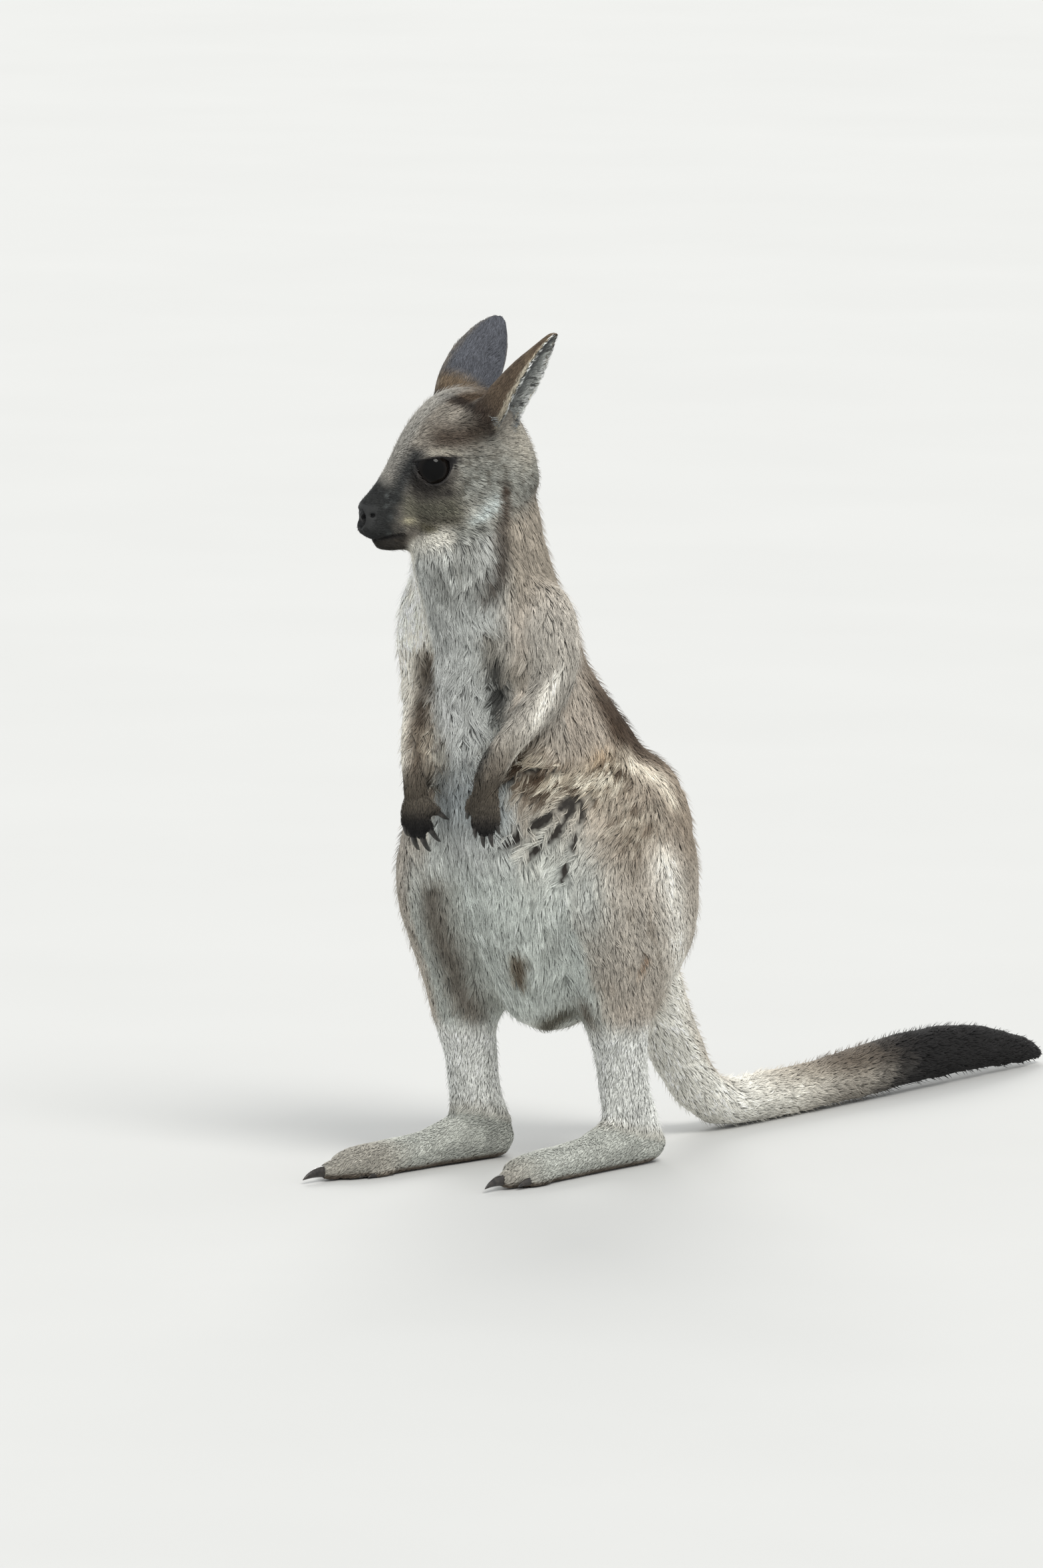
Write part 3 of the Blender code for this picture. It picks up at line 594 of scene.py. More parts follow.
def thinned(skin, where, triangles):
    """Fewer triangles, kept mostly where the form is fine."""
    coarse = skin.vertex_groups.new(name="Coarse")
    kept = 0.10 + 0.16 * where["head"] + 0.12 * where["ear"] * (1 - where["head"])
    kept += 0.24 * where["hand"] + 0.08 * where["foot"]
    levels = np.round(1 - kept, 2)
    for level in np.unique(levels):
        coarse.add(np.nonzero(levels == level)[0].tolist(), float(level), "REPLACE")
    thin = skin.modifiers.new("Thin", "DECIMATE")
    thin.ratio = triangles / (2 * len(skin.data.polygons))
    thin.use_collapse_triangulate = True
    thin.vertex_group = "Coarse"
    return applied(skin, "kangaroo_skin")


def refined(mesh):
    """Smaller faces round the eyes, on the lips and at the nostrils."""
    bm = bmesh.new()
    bm.from_mesh(mesh)
    for size in (1.3, 0.75):
        chosen = set()
        for edge in bm.edges:
            spot = to_mm((edge.verts[0].co + edge.verts[1].co) / 2)[None]
            if spot[0, 2] < 412:
                continue
            ahead, left, height = (value[0] for value in head_coords(spot))
            reach = math.hypot(ahead - EYE[0], height - EYE[2])
            eye = reach < 18 and abs(left) > 14
            mouth = ahead > 48 and abs(mouth_gap(ahead, height)) < 4
            nostril = ahead > 65 and abs(height - 435) < 6
            if (eye or mouth or nostril) and edge.calc_length() > size * 0.001:
                chosen.add(edge)
        bmesh.ops.subdivide_edges(bm, edges=list(chosen), cuts=1, use_grid_fill=False)
        bmesh.ops.triangulate(bm, faces=bm.faces)
    bm.to_mesh(mesh)
    bm.free()


def make_skin():
    skin = applied(raw_skin(), "skin")
    mesh = skin.data
    points = positions(mesh)
    where = regions(points, normals_of(mesh))
    fine = fineness(where)
    links = neighbours(mesh)
    points = smoothed(points, links, 44, 0.55 * (1 - fine))
    points = smoothed(points, links, 7, 0.30 * (1 - 0.6 * where["ear"]) * (1 - 0.85 * where["hand"]))
    set_positions(mesh, points)
    normals = smoothed(normals_of(mesh), links, 10, 0.5 * (1 - 0.8 * fine))
    depth = smoothed(coat_depth(where)[:, None], links, 14, 0.5)[:, 0]
    points -= unit(normals) * depth[:, None]
    points[:, 2] = np.maximum(points[:, 2], 0.15)
    set_positions(mesh, points)
    skin = thinned(skin, where, 160000)
    mesh = skin.data
    refined(mesh)
    points = shape_face(positions(mesh), normals_of(mesh))
    links = neighbours(mesh)
    where = regions(points, normals_of(mesh))
    points = smoothed(points, links, 2, 0.25 * (1 - where["ear"]) * (1 - where["hand"]))
    set_positions(mesh, points)
    for polygon in mesh.polygons:
        polygon.use_smooth = True
    return skin


# ---- markings -----------------------------------------------------------------------------------
DEEP = (28, 26, 26)

FLANK_OUT = np.array((0.80, -0.60, 0.0))
FLANK_RUN = np.array((-0.60, -0.80, 0.0))       # level along the flank, towards the belly
FLANK_LIE = np.array((-0.52, -0.70, -0.49))     # the way the shaggy hair of the flank sweeps

# Partings of the flank's coat: a fan of short dark gaps, with a row of thin ones above it.
FAN_HUB = np.array((54.0, -38.0, 256.0))        # upper rear end of the fan
FAN_SLOPES = (36.0, 56.0, 80.0)                 # degrees below level of the fan's rays
FAN_STRIDE = 20.0                               # from one parting to the next along a ray
FAN_LENGTH = 16.0
FAN_HALF = 5.0                                  # half width on the first ray
FAN_THINNER = 0.72                              # half width of each ray against the one before
ROW_RISE = 17.0                                 # of the thin row above the hub
ROW_SLOPE = 10.0
ROW_HALF = 2.2


def lay_partings():
    """Start, end and half width of each parting, a little uneven in place, slope and length."""
    chance = np.random.default_rng(19)
    rays = [(FAN_HUB, slope, FAN_HALF * FAN_THINNER ** k) for k, slope in enumerate(FAN_SLOPES)]
    rays.append((FAN_HUB + (0, 0, ROW_RISE), ROW_SLOPE, ROW_HALF))
    laid = []
    for hub, slope, half in rays:
        for place in range(3):
            angle = math.radians(slope + chance.uniform(-7, 7))
            way = FLANK_RUN * math.cos(angle) - np.array((0, 0, math.sin(angle)))
            reach = FAN_STRIDE * (place + 0.4) + chance.uniform(-2.5, 2.5)
            length = FAN_LENGTH * chance.uniform(0.7, 1.15)
            laid.append((hub + way * reach, hub + way * (reach + length), half * chance.uniform(0.8, 1.15)))
    return laid


PARTINGS = lay_partings()


# The belt of shaggy dark and pale hair from the elbow to the hip.
BELT = [(34, -82, 282), (46, -66, 264), (60, -34, 262), (64, -8, 268)]


def parting_gap(points):
    """Distance to the nearest parting in half widths, and the way away from it."""
    best = np.full(len(points), 99.0)
    away = np.zeros_like(points)
    for start, end, half in PARTINGS:
        start, run = np.array(start, float), np.array(end, float) - start
        share = np.clip((points - start) @ run / (run @ run), 0, 1)
        off = points - (start + share[:, None] * run)
        off = off - FLANK_OUT * (off @ FLANK_OUT)[:, None] * 0.92
        taper = half * (0.45 + 0.55 * np.sin(np.pi * np.clip(share, 0.02, 0.98)))
        gap = np.linalg.norm(off, axis=1) / taper
        closer = gap < best
        best = np.where(closer, gap, best)
        away[closer] = off[closer]
    return best, unit(away)


def at_outline(points, normals, where):
    """Places on the coat's outer surface above points of the skin, with their coordinates."""
    out = points + normals * coat_depth(where)[:, None]
    w = dict(where)
    w["ahead"], w["left"], _ = head_coords(out)
    w["aside"] = np.abs(w["left"])
    w["x"], w["y"], w["z"] = out.T
    return out, w


def blend_to(colour, target, weight):
    return colour + (np.array(target, float) - colour) * np.clip(weight, 0, 1)[:, None]


def mirrored(points):
    return points * np.array((0.0, 1, 1)) + np.abs(points[:, :1]) * np.array((1.0, 0, 0))


def blob(points, centre, size):
    """1 at the centre, falling away over a size along x, y and z."""
    return np.exp(-np.sum(((points - np.array(centre)) / np.array(size)) ** 2, axis=1))


def stroke(points, spots, width):
    """1 along a line through spots, falling away over its width."""
    best = np.full(len(points), 1e9)
    for start, end in zip(spots, spots[1:]):
        start, run = np.array(start, float), np.array(end, float) - start
        share = np.clip((points - start) @ run / (run @ run), 0, 1)
        best = np.minimum(best, np.linalg.norm(points - start - share[:, None] * run, axis=1))
    return np.exp(-(best / width) ** 2)


def speckled(points, size, seed, low=0.2, high=0.6):
    """Scattered flecks, drawn out along the height."""
    return step(noise(points * np.array((1, 1, 0.5)), size, seed), low, high)


def swept(points, size, seed, low=0.1, high=0.5):
    """Scattered flecks, drawn out along the lie of the flank's hair."""
    along = (mirrored(points) @ FLANK_LIE)[:, None]
    return step(noise(points - FLANK_LIE * along * 0.55, size, seed), low, high)


def body_colour(points, w):
    x, y, z = w["x"], w["y"], w["z"]
    both = mirrored(points)
    rough = noise(points, 9, 3)
    broad = noise(points, 26, 5)
    side = np.abs(x)
    spine = step(y - np.interp(z, (90, 220, 330, 400), (30, 30, -26, -50)), -14, 18)
    colour = np.tile(np.array((166, 156, 144), float), (len(points), 1))
    colour = blend_to(colour, (136, 124, 110), spine * 0.8)
    colour = blend_to(colour, (146, 138, 126), step(z, 372, 400) * 0.8)
    # chest, throat and belly
    front = np.interp(z, (90, 160, 240, 330, 420), (-10, -40, -66, -72, -88))
    panel = step(front - y, -8, 12) * step(x, -44, -34) * (1 - step(x, 22, 38)) * step(z, 150, 195)
    colour = blend_to(colour, (182, 184, 180), panel)
    colour = blend_to(colour, (206, 207, 203), panel * bump(z, 322, 38) * bump(x, -14, 20))
    colour = blend_to(colour, (154, 160, 161), panel * bump(z, 256, 22) * 0.9)
    flecks = panel * speckled(points, 5, 23) * (0.25 + 0.2 * step(z, 340, 370))
    colour = blend_to(colour, (104, 106, 103), flecks)
    throat = panel * step(z, 372, 398) * bump(x, 6, 24)
    colour = blend_to(colour, (118, 118, 113), throat * (0.5 + 0.4 * rough))
    colour = blend_to(colour, (200, 202, 197), throat * speckled(points, 4, 29) * 0.7)
    belly = step(front + 24 - y, -6, 16) * (1 - step(z, 190, 226)) * step(z, 84, 96)
    belly = belly * (1 - step(side, 46, 62))
    colour = blend_to(colour, (194, 199, 193), belly)
    colour = blend_to(colour, (150, 154, 148), belly * speckled(points, 4.5, 37) * 0.5)
    colour = blend_to(colour, (84, 70, 54), stroke(points, [(8, -49, 130), (13, -56, 144)], 6) * 0.8)
    colour = blend_to(colour, (96, 92, 84), blob(points, (36, -56, 146), (4, 9, 11)) * 0.9)
    # neck and shoulders
    # the far side of the neck painted cream: partly pale fur, partly painted rim light
    colour = blend_to(colour, (244, 240, 228), step(-x, 24, 36) * step(z, 330, 352) * step(-y, 52, 76))
    # painted shade: a dark line down the side of the neck, where the fold lies in shade
    neck_fold_shade = stroke(points, [(15, -82, 450), (21, -87, 424), (23, -91, 408), (21, -99, 390)], 6.5)
    colour = blend_to(colour, (48, 42, 37), neck_fold_shade * (0.9 + 0.3 * rough))
    shoulder = bump(z, 366, 38) * step(x, 30, 44)
    colour = blend_to(colour, (182, 177, 168), shoulder * 0.8)
    # painted shade in the armpit, between the upper arm and the chest
    armpit_shade = stroke(points, [(23, -97, 360), (26, -91, 340), (33, -84, 338)], 8.5)
    colour = blend_to(colour, (112, 107, 98), armpit_shade * 0.75)
    shadow = stroke(points, [(25, -91, 318), (20, -93, 296), (11, -95, 272), (5, -95, 254)], 4.0)
    colour = blend_to(colour, (116, 119, 115), shadow * 0.5)
    # arms
    upper = step(side, 34, 44) * bump(z, 330, 36) * (y < -52)
    arm = np.maximum(w["forearm"], upper)
    colour = blend_to(colour, (158, 154, 146), arm * (x > 0) * 0.85)
    # the far arm painted cream: partly its pale coat, partly painted rim light
    colour = blend_to(colour, (236, 231, 219), arm * (x < 0) * 0.95)
    colour = blend_to(colour, (112, 104, 94), w["forearm"] * (x > 0) * (1 - step(z, 276, 306)) * 0.9)
    # painted rim light: a pale line down the near arm's rear edge
    rear = stroke(points, [(62, -71, 341), (54, -86, 314), (46, -97, 290), (44, -99, 278)], 4.8)
    colour = blend_to(colour, (226, 222, 212), rear * 0.95)
    # painted shade on the far arm's inner side, next to the chest
    inner = stroke(points, [(-37, -84, 345), (-37, -88, 312), (-33, -94, 285), (-30, -95, 262)], 7)
    colour = blend_to(colour, (84, 76, 67), inner * 0.95)
    band = stroke(points, [(-36, -92, 312), (-33, -99, 292), (-29, -104, 278), (-29, -109, 266)], 6.5)
    colour = blend_to(colour, (78, 69, 60), band * 0.97)
    # painted shade: a dark line where the near forearm's inner edge lies against the chest
    edge = [(24, -93, 345), (26, -89, 318), (28, -94, 300), (28, -106, 288), (24, -112, 270)]
    edge = stroke(points, edge, 4.6)
    colour = blend_to(colour, (48, 48, 46), edge * 0.92)
    # saddle, flank and haunch
    # dark brown saddle fur, deepened with painted shade of the dip in the back before the hips
    saddle_and_dip_shade = bump(z, 300, 34) * step(y - np.interp(z, (250, 300, 340), (10, -14, -32)), -8, 12)
    colour = blend_to(colour, (60, 49, 40), saddle_and_dip_shade * 0.97 * (1 - step(side, 54, 66)))
    colour = blend_to(colour, (196, 166, 130), blob(both, (59, -22, 279), (7, 13, 7)) * 0.7)
    belt = stroke(both, BELT, 15)
    colour = blend_to(colour, (140, 130, 113), belt * 0.8)
    fan = blob(both, (44, -62, 212), (20, 26, 32))
    colour = blend_to(colour, (206, 209, 202), fan * 0.85)
    haunch = blob(both, (76, -6, 232), (24, 26, 26))
    colour = blend_to(colour, (138, 128, 114), haunch * 0.85)
    spotted = np.maximum(belt, 0.55 * haunch)
    colour = blend_to(colour, (56, 44, 34), spotted * swept(both, 3.8, 9, 0.02, 0.32) * 0.92)
    colour = blend_to(colour, (214, 208, 192), spotted * swept(both, 3.2, 47, 0.05, 0.45) * 0.75)
    crest = stroke(both, [(58, 8, 274), (67, 23, 263), (72, 32, 248)], 8.5)
    colour = blend_to(colour, (234, 224, 206), crest * 0.95)
    thigh = step(side, 48, 60) * bump(z, 160, 58) * (1 - step(z, 200, 222))
    colour = blend_to(colour, (176, 170, 160), thigh * 0.8)
    colour = blend_to(colour, (112, 102, 90), thigh * speckled(points, 5, 53, 0.3, 0.7) * 0.4)
    colour = blend_to(colour, (190, 194, 189), blob(both, (62, -46, 190), (16, 15, 38)) * 0.85)
    pale = stroke(both, [(84, 14, 206), (85, 28, 168), (72, 46, 132)], 15)
    colour = blend_to(colour, (236, 232, 222), pale * 0.9)
    colour = blend_to(colour, (112, 84, 62), stroke(both, [(77, 2, 142), (77, -2, 128)], 3.0) * 0.7)
    # painted shade in the far side's groin, between thigh and belly
    groin_shade = stroke(points, [(-35, -84, 190), (-33, -76, 160), (-33, -54, 123), (-29, -37, 100)], 12)
    colour = blend_to(colour, (96, 90, 82), groin_shade * (x < -16) * 0.9)
    shin = stroke(points, [(40, -18, 112), (43, -12, 98), (47, -6, 82)], 7.5)
    colour = blend_to(colour, (98, 90, 80), shin * 0.8)
    # legs, feet, hands and tail
    colour = blend_to(colour, (216, 217, 212), w["shank"] * (1 - step(z, 84, 112)))
    low_mark = stroke(points, [(8, -12, 92), (14, -17, 97), (24, -15, 102)], 9)
    colour = blend_to(colour, (72, 68, 58), low_mark * 0.9)
    colour = blend_to(colour, (168, 170, 163), w["foot"])
    toes = w["foot"] * step(-y, 72, 112)
    colour = blend_to(colour, (134, 127, 117), toes * 0.6)
    # the feet darker towards the floor: partly the soles' dark fur, partly painted shade under the feet
    colour = blend_to(colour, (96, 86, 76), w["foot"] * (1 - step(z, 2, 6)) * 0.9)
    cuff = 1 - step(z, 262, 284 - 4 * (x < 0))
    colour = blend_to(colour, (76, 70, 62), cuff * (y < -92) * (side < 46) * (side > 14) * (z > 240))
    colour = blend_to(colour, (82, 76, 68), w["hand"])
    colour = blend_to(colour, (30, 29, 29), w["hand"] * (1 - step(z, 230, 250)))
    tail = w["tail"]
    colour = blend_to(colour, (220, 218, 209), tail)
    middle = np.interp(y, (84, 110, 147, 200), (118, 92, 48, 20))
    ridge = step(z - middle, 4, 16) * (1 - step(side - 12, 0, 14)) * (1 - step(y, 170, 220))
    colour = blend_to(colour, (150, 140, 127), tail * ridge * 0.8)
    top = step(z - np.interp(y, (84, 147, 200, 600), (140, 66, 24, 24)), -8, 10)
    colour = blend_to(colour, (160, 152, 139), tail * step(y, 190, 290) * (0.35 + 0.65 * top))
    colour = blend_to(colour, (92, 84, 75), tail * step(y, 262, 340) * (0.5 + 0.5 * top))
    colour = blend_to(colour, (28, 27, 27), tail * step(y + 16 * rough, 345, 418))
    return colour * (1.045 + 0.07 * rough + 0.05 * broad)[:, None]


def head_colour(points, w):
    ahead, side, z = w["ahead"], w["aside"], w["z"]
    rough = noise(points, 4.0, 11)
    grey = noise(points, 3.2, 13)
    flat = np.stack((ahead, side * 0, z), axis=1)
    solid = np.stack((ahead, side, z), axis=1)
    colour = np.tile(np.array((134, 128, 119), float), (len(points), 1))
    colour = colour * (1 + 0.16 * rough)[:, None]
    outer = step(side, 12, 20)
    # grey mottled side of the head, the olive cheek and the pale jaw patch
    behind = outer * (1 - step(ahead, 14, 28)) * bump(z, 458, 26)
    colour = blend_to(colour, (130, 131, 125), behind * 0.9)
    colour = blend_to(colour, (80, 76, 69), behind * step(grey, 0.1, 0.5) * 0.55)
    colour = blend_to(colour, (172, 173, 166), behind * step(-grey, 0.15, 0.5) * 0.5)
    cheek = outer * bump(z, 440, 12) * step(ahead, 12, 26) * (1 - step(ahead, 50, 58))
    colour = blend_to(colour, (86, 84, 74), cheek * 0.95)
    colour = blend_to(colour, (132, 130, 115), cheek * step(grey, 0.1, 0.6) * 0.45)
    lip_edge = stroke(flat, [(55, 0, 446), (51, 0, 438), (49, 0, 430)], 4.5) * outer
    colour = blend_to(colour, (124, 121, 106), lip_edge * 0.8)
    # painted shade along the crease of the cheek
    crease = stroke(flat, [(44, 0, 435), (34, 0, 433), (24, 0, 435)], 1.8) * outer
    colour = blend_to(colour, (68, 65, 57), crease * 0.75)
    colour = blend_to(colour, (70, 66, 50), stroke(flat, [(42, 0, 428), (37, 0, 427)], 3.2) * outer * 0.8)
    jaw_patch = stroke(flat, [(-5, 0, 447), (3, 0, 441), (13, 0, 432)], 5.2) * outer
    colour = blend_to(colour, (190, 198, 195), jaw_patch * (0.85 + 0.3 * grey))
    below = 1 - step(z - np.interp(ahead, (10, 32, 44, 56), (433, 429, 422, 413)), -4, 3)
    front = step(ahead, 22, 34)
    colour = blend_to(colour, (126, 127, 121), below * (1 - front) * 0.9)
    colour = blend_to(colour, (74, 72, 66), below * (1 - front) * step(grey, 0.0, 0.5) * 0.7)
    colour = blend_to(colour, (214, 211, 200), below * front * (1 - step(ahead, 50, 58)) * 0.95)
    # painted shade: the shaded fold of the neck, carried on up the side of the head
    neck_fold_shade_head = stroke(solid, [(-10, 29, 452), (-10, 33, 436), (-11, 36, 424)], 4.0)
    colour = blend_to(colour, (66, 56, 48), neck_fold_shade_head * (0.9 + 0.4 * grey))
    nape = blob(solid, (-24, 20, 478), (14, 16, 16))
    colour = blend_to(colour, (182, 176, 163), nape * 0.8)
    # temple, crown and brow
    temple = stroke(flat, [(2, 0, 497), (16, 0, 488), (31, 0, 486)], 7.5) * outer
    colour = blend_to(colour, (74, 65, 57), temple * 0.95)
    crown = step(z + 2 * rough, 504, 509) * (1 - step(ahead, 20, 29)) * (1 - step(side, 20, 26))
    colour = blend_to(colour, (78, 65, 53), crown * 0.97)
    # painted shade: the dark crease curves from the crown's front round the root of the ear, in the shaded
    # gap between crown and ear
    share = np.linspace(0, 1, 6)
    round_ear = 6 + 28 * np.sin(share * math.pi / 2)
    line = np.stack((27 - 26 * share, round_ear, 511 - 21 * share ** 2), axis=1)
    colour = blend_to(colour, (38, 33, 30), stroke(solid, line, 3.8) * 0.97)
    bridge = bump(ahead + 0.9 * (z - 480), 54, 20) * (1 - step(side, 9, 16))
    colour = blend_to(colour, (158, 156, 150), bridge * 0.75)
    # dark lids, the shade under the eye and the band from its front corner to the muzzle
    reach = np.hypot(ahead - EYE[0] - 0.6, (z - EYE[2] + 1.0) / 0.84)
    wide = 11.4 + 5.5 * step(ahead, EYE[0] - 4, EYE[0] + 10) * step(EYE[2] + 7 - z, 0, 5)
    ring = (1 - step(reach + 0.8 * grey, wide, wide + 2.5)) * (side > 12) * (0.3 + 0.7 * step(ahead, 22, 30))
    colour = blend_to(colour, (44, 41, 40), ring * 0.9)
    under = stroke(flat, [(50, 0, 459), (45, 0, 450), (36, 0, 451), (28, 0, 452)], 4.4) * outer
    colour = blend_to(colour, (54, 51, 48), under * (0.85 + 0.2 * grey))
    brow = stroke(flat, [(22, 0, 476), (30, 0, 478.5), (40, 0, 476)], 2.4) * outer
    colour = blend_to(colour, (158, 153, 141), brow * 0.8)
    band = stroke(flat, [(47, 0, 474), (52, 0, 466), (56, 0, 456), (60, 0, 446)], 4.6) * step(side, 7, 11)
    colour = blend_to(colour, (56, 57, 57), band * 0.95)
    # muzzle, lips and chin
    muzzle = step(ahead - 0.9 * np.maximum(z - 447, 0) + 2.5 * rough + 1.5 * grey, 51, 64)
    colour = blend_to(colour, (44, 45, 45), muzzle * 0.97)
    colour = blend_to(colour, (80, 83, 82), muzzle * step(grey, 0.1, 0.6) * (1 - step(ahead, 64, 70)) * 0.7)
    jaw = step(ahead + rough, 46, 54) * (1 - step(mouth_gap(ahead, z), -1.5, 1.0))
    colour = blend_to(colour, (46, 43, 39), jaw * 0.9)
    spot = np.exp(-((ahead - 50.5) / 4.2) ** 2 - ((z - 432.5) / 2.6) ** 2) * (side > 8)
    colour = blend_to(colour, (196, 188, 160), spot * 0.85)
    lip = (ahead > 52) * (side < 18) * np.exp(-(mouth_gap(ahead, z) / 1.0) ** 2)
    colour = blend_to(colour, DEEP, lip * 0.8)
    lid = step(eye_opening(ahead, z), -1.8 - 2.6 * (z > EYE[2] + 3), -0.8)
    colour = blend_to(colour, DEEP, (side > 12) * lid)
    return colour


def ear_colour(points, w):
    run, across, inside = w["run"], w["across"], w["inside"]
    rough = noise(points, 4, 17)
    flecks = noise(points, 2.6, 19)
    rim = step(np.abs(across), 0.82, 0.97)
    left = np.tile(np.array((86, 74, 62), float), (len(points), 1))
    # the near ear's root dark: partly dark brown fur, partly painted shade where the ear meets the head
    left = blend_to(left, (46, 39, 35), (1 - step(run, 0.12, 0.32)) * 0.85)
    left = blend_to(left, (124, 110, 90), step(run, 0.5, 0.85) * (0.3 + 0.5 * rough))
    left = blend_to(left, (132, 116, 94), step(across, 0.45, 0.85) * 0.5)
    left = blend_to(left, (128, 124, 114), (1 - step(run, 0.10, 0.3)) * step(flecks, 0.3, 0.6) * 0.5)
    right = np.tile(np.array((80, 82, 88), float), (len(points), 1))
    right = blend_to(right, (104, 90, 74), 1 - step(run, 0.22, 0.36))
    right = blend_to(right, (116, 108, 98), step(np.abs(across), 0.5, 0.75) * (0.5 + 0.4 * rough))
    back = np.where((w["which"] == 0)[:, None], left, right)
    back = blend_to(back, (196, 190, 172), rim * 0.85)
    hollow = np.tile(np.array((104, 106, 106), float), (len(points), 1))
    hollow = blend_to(hollow, (46, 46, 48), step(0.55 - np.abs(across), 0, 0.3) * (0.75 + 0.25 * rough))
    blade = step(run, 0.16, 0.32)
    hollow = blend_to(hollow, (240, 243, 238), step(np.abs(across), 0.5, 0.8) * blade * 0.95)
    hollow = blend_to(hollow, (70, 70, 70), step(flecks, 0.2, 0.45) * step(np.abs(across), 0.5, 0.8) * 0.8)
    return np.where(inside[:, None] > 0.5, hollow, back) * (1 + 0.08 * rough)[:, None]


def markings(points, w):
    """The coat's colour at points on the skin, as sRGB from 0 to 255."""
    colour = body_colour(points, w)
    head = w["head"][:, None]
    colour = colour * (1 - head) + head_colour(points, w) * head
    ear = w["ear"][:, None]
    return np.clip(colour * (1 - ear) + ear_colour(points, w) * ear, 4, 250)


def linear(colour):
    share = np.clip(np.asarray(colour, float) / 255, 0, 1)
    return np.where(share <= 0.04045, share / 12.92, ((share + 0.055) / 1.055) ** 2.4)


def paint(mesh, colour):
    """Store a linear colour for each vertex."""
    layer = mesh.color_attributes.new("Coat", "FLOAT_COLOR", "POINT")
    flat = np.ones((len(mesh.vertices), 4), np.float32)
    flat[:, :3] = colour
    layer.data.foreach_set("color", flat.ravel())


# ---- the coat -----------------------------------------------------------------------------------
TUFTS = 238000
TUFTS_PER_PIECE = 32000
GUARD_SHARE = 0.09              # of the tufts that stand out from the outline
# Faces of a tuft, whose points are its root, left, right, top and tip.
TUFT_FACES = ((0, 2, 1), (0, 3, 2), (0, 1, 3), (4, 1, 2), (4, 2, 3), (4, 3, 1))
PATCH = 0.003                   # side of a tuft's patch on the OFBake map
CHANCE = np.random.default_rng(20)


def mix(first, second, weight):
    return first * (1 - weight) + second * weight


def coat_plan(w):
    """Tufts to the square millimetre and their length, width, lift, clumping and waviness."""
    zero = 0 * w["z"]
    chest = step(-w["y"], 45, 70) * bump(w["x"], 3, 38) * bump(w["z"], 305, 75)
    face = step(w["ahead"], 0, 45)
    muzzle = step(w["ahead"], 50, 64)
    crown = step(w["z"], 492, 506) * (1 - w["ear"])
    hollow = w["ear"] * (w["inside"] > 0.5)
    rim = hollow * step(np.abs(w["across"]), 0.55, 0.8)
    tail_tip = step(w["y"], 470, 560)
    haunch = step(np.abs(w["x"]), 44, 58) * bump(w["z"], 165, 62)
    table = {
        "density": (0.55, 0.60, 0.8, 1.2, 0.62, 0.46, 1.25, 1.6),
        "length": (11.5, 5.6, 4.2, 2.6, 7.5, 8.0, 5.6, 2.2),
        "width": (0.82, 0.7, 0.62, 0.5, 0.75, 0.9, 0.62, 0.42),
        "lift": (2.5, 1.4, 0.9, 0.5, 1.4, 2.0, 1.3, 0.32),
        "clump": (0.62, 0.45, 0.35, 0.2, 0.5, 0.5, 0.4, 0.12),
        "wave": (0.28, 0.22, 0.2, 0.15, 0.25, 0.2, 0.24, 0.12),
    }
    plan = {}
    for key, (trunk, shank, foot, hand, arm, tail, head, nose) in table.items():
        value = zero + trunk
        limbs = (("shank", shank), ("foot", foot), ("forearm", arm), ("tail", tail), ("hand", hand))
        for part, amount in limbs:
            value = mix(value, amount, w[part])
        plan[key] = mix(value, mix(mix(head, (head + nose) / 2, face), nose, muzzle), w["head"])
    plan["width"] -= 0.14 * haunch
    plan["lift"] -= 0.7 * haunch
    plan["length"] += 3.0 * chest - 3.5 * haunch + 1.5 * crown * w["head"] - 2.5 * tail_tip * w["tail"]
    plan["clump"] += 0.16 * chest
    plan["wave"] += 0.5 * chest
    plan["lift"] += 1.2 * chest
    for key, back, inner, edge in (
        ("density", 1.5, 0.6, 1.3),
        ("length", 4.2, 3.2, 6.0),
        ("width", 0.5, 0.36, 0.36),
        ("lift", 0.85, 0.5, 2.0),
        ("clump", 0.25, 0.2, 0.4),
        ("wave", 0.3, 0.3, 0.3),
    ):
        plan[key] = mix(plan[key], mix(mix(back, inner, hollow), edge, rim), w["ear"])
    return plan


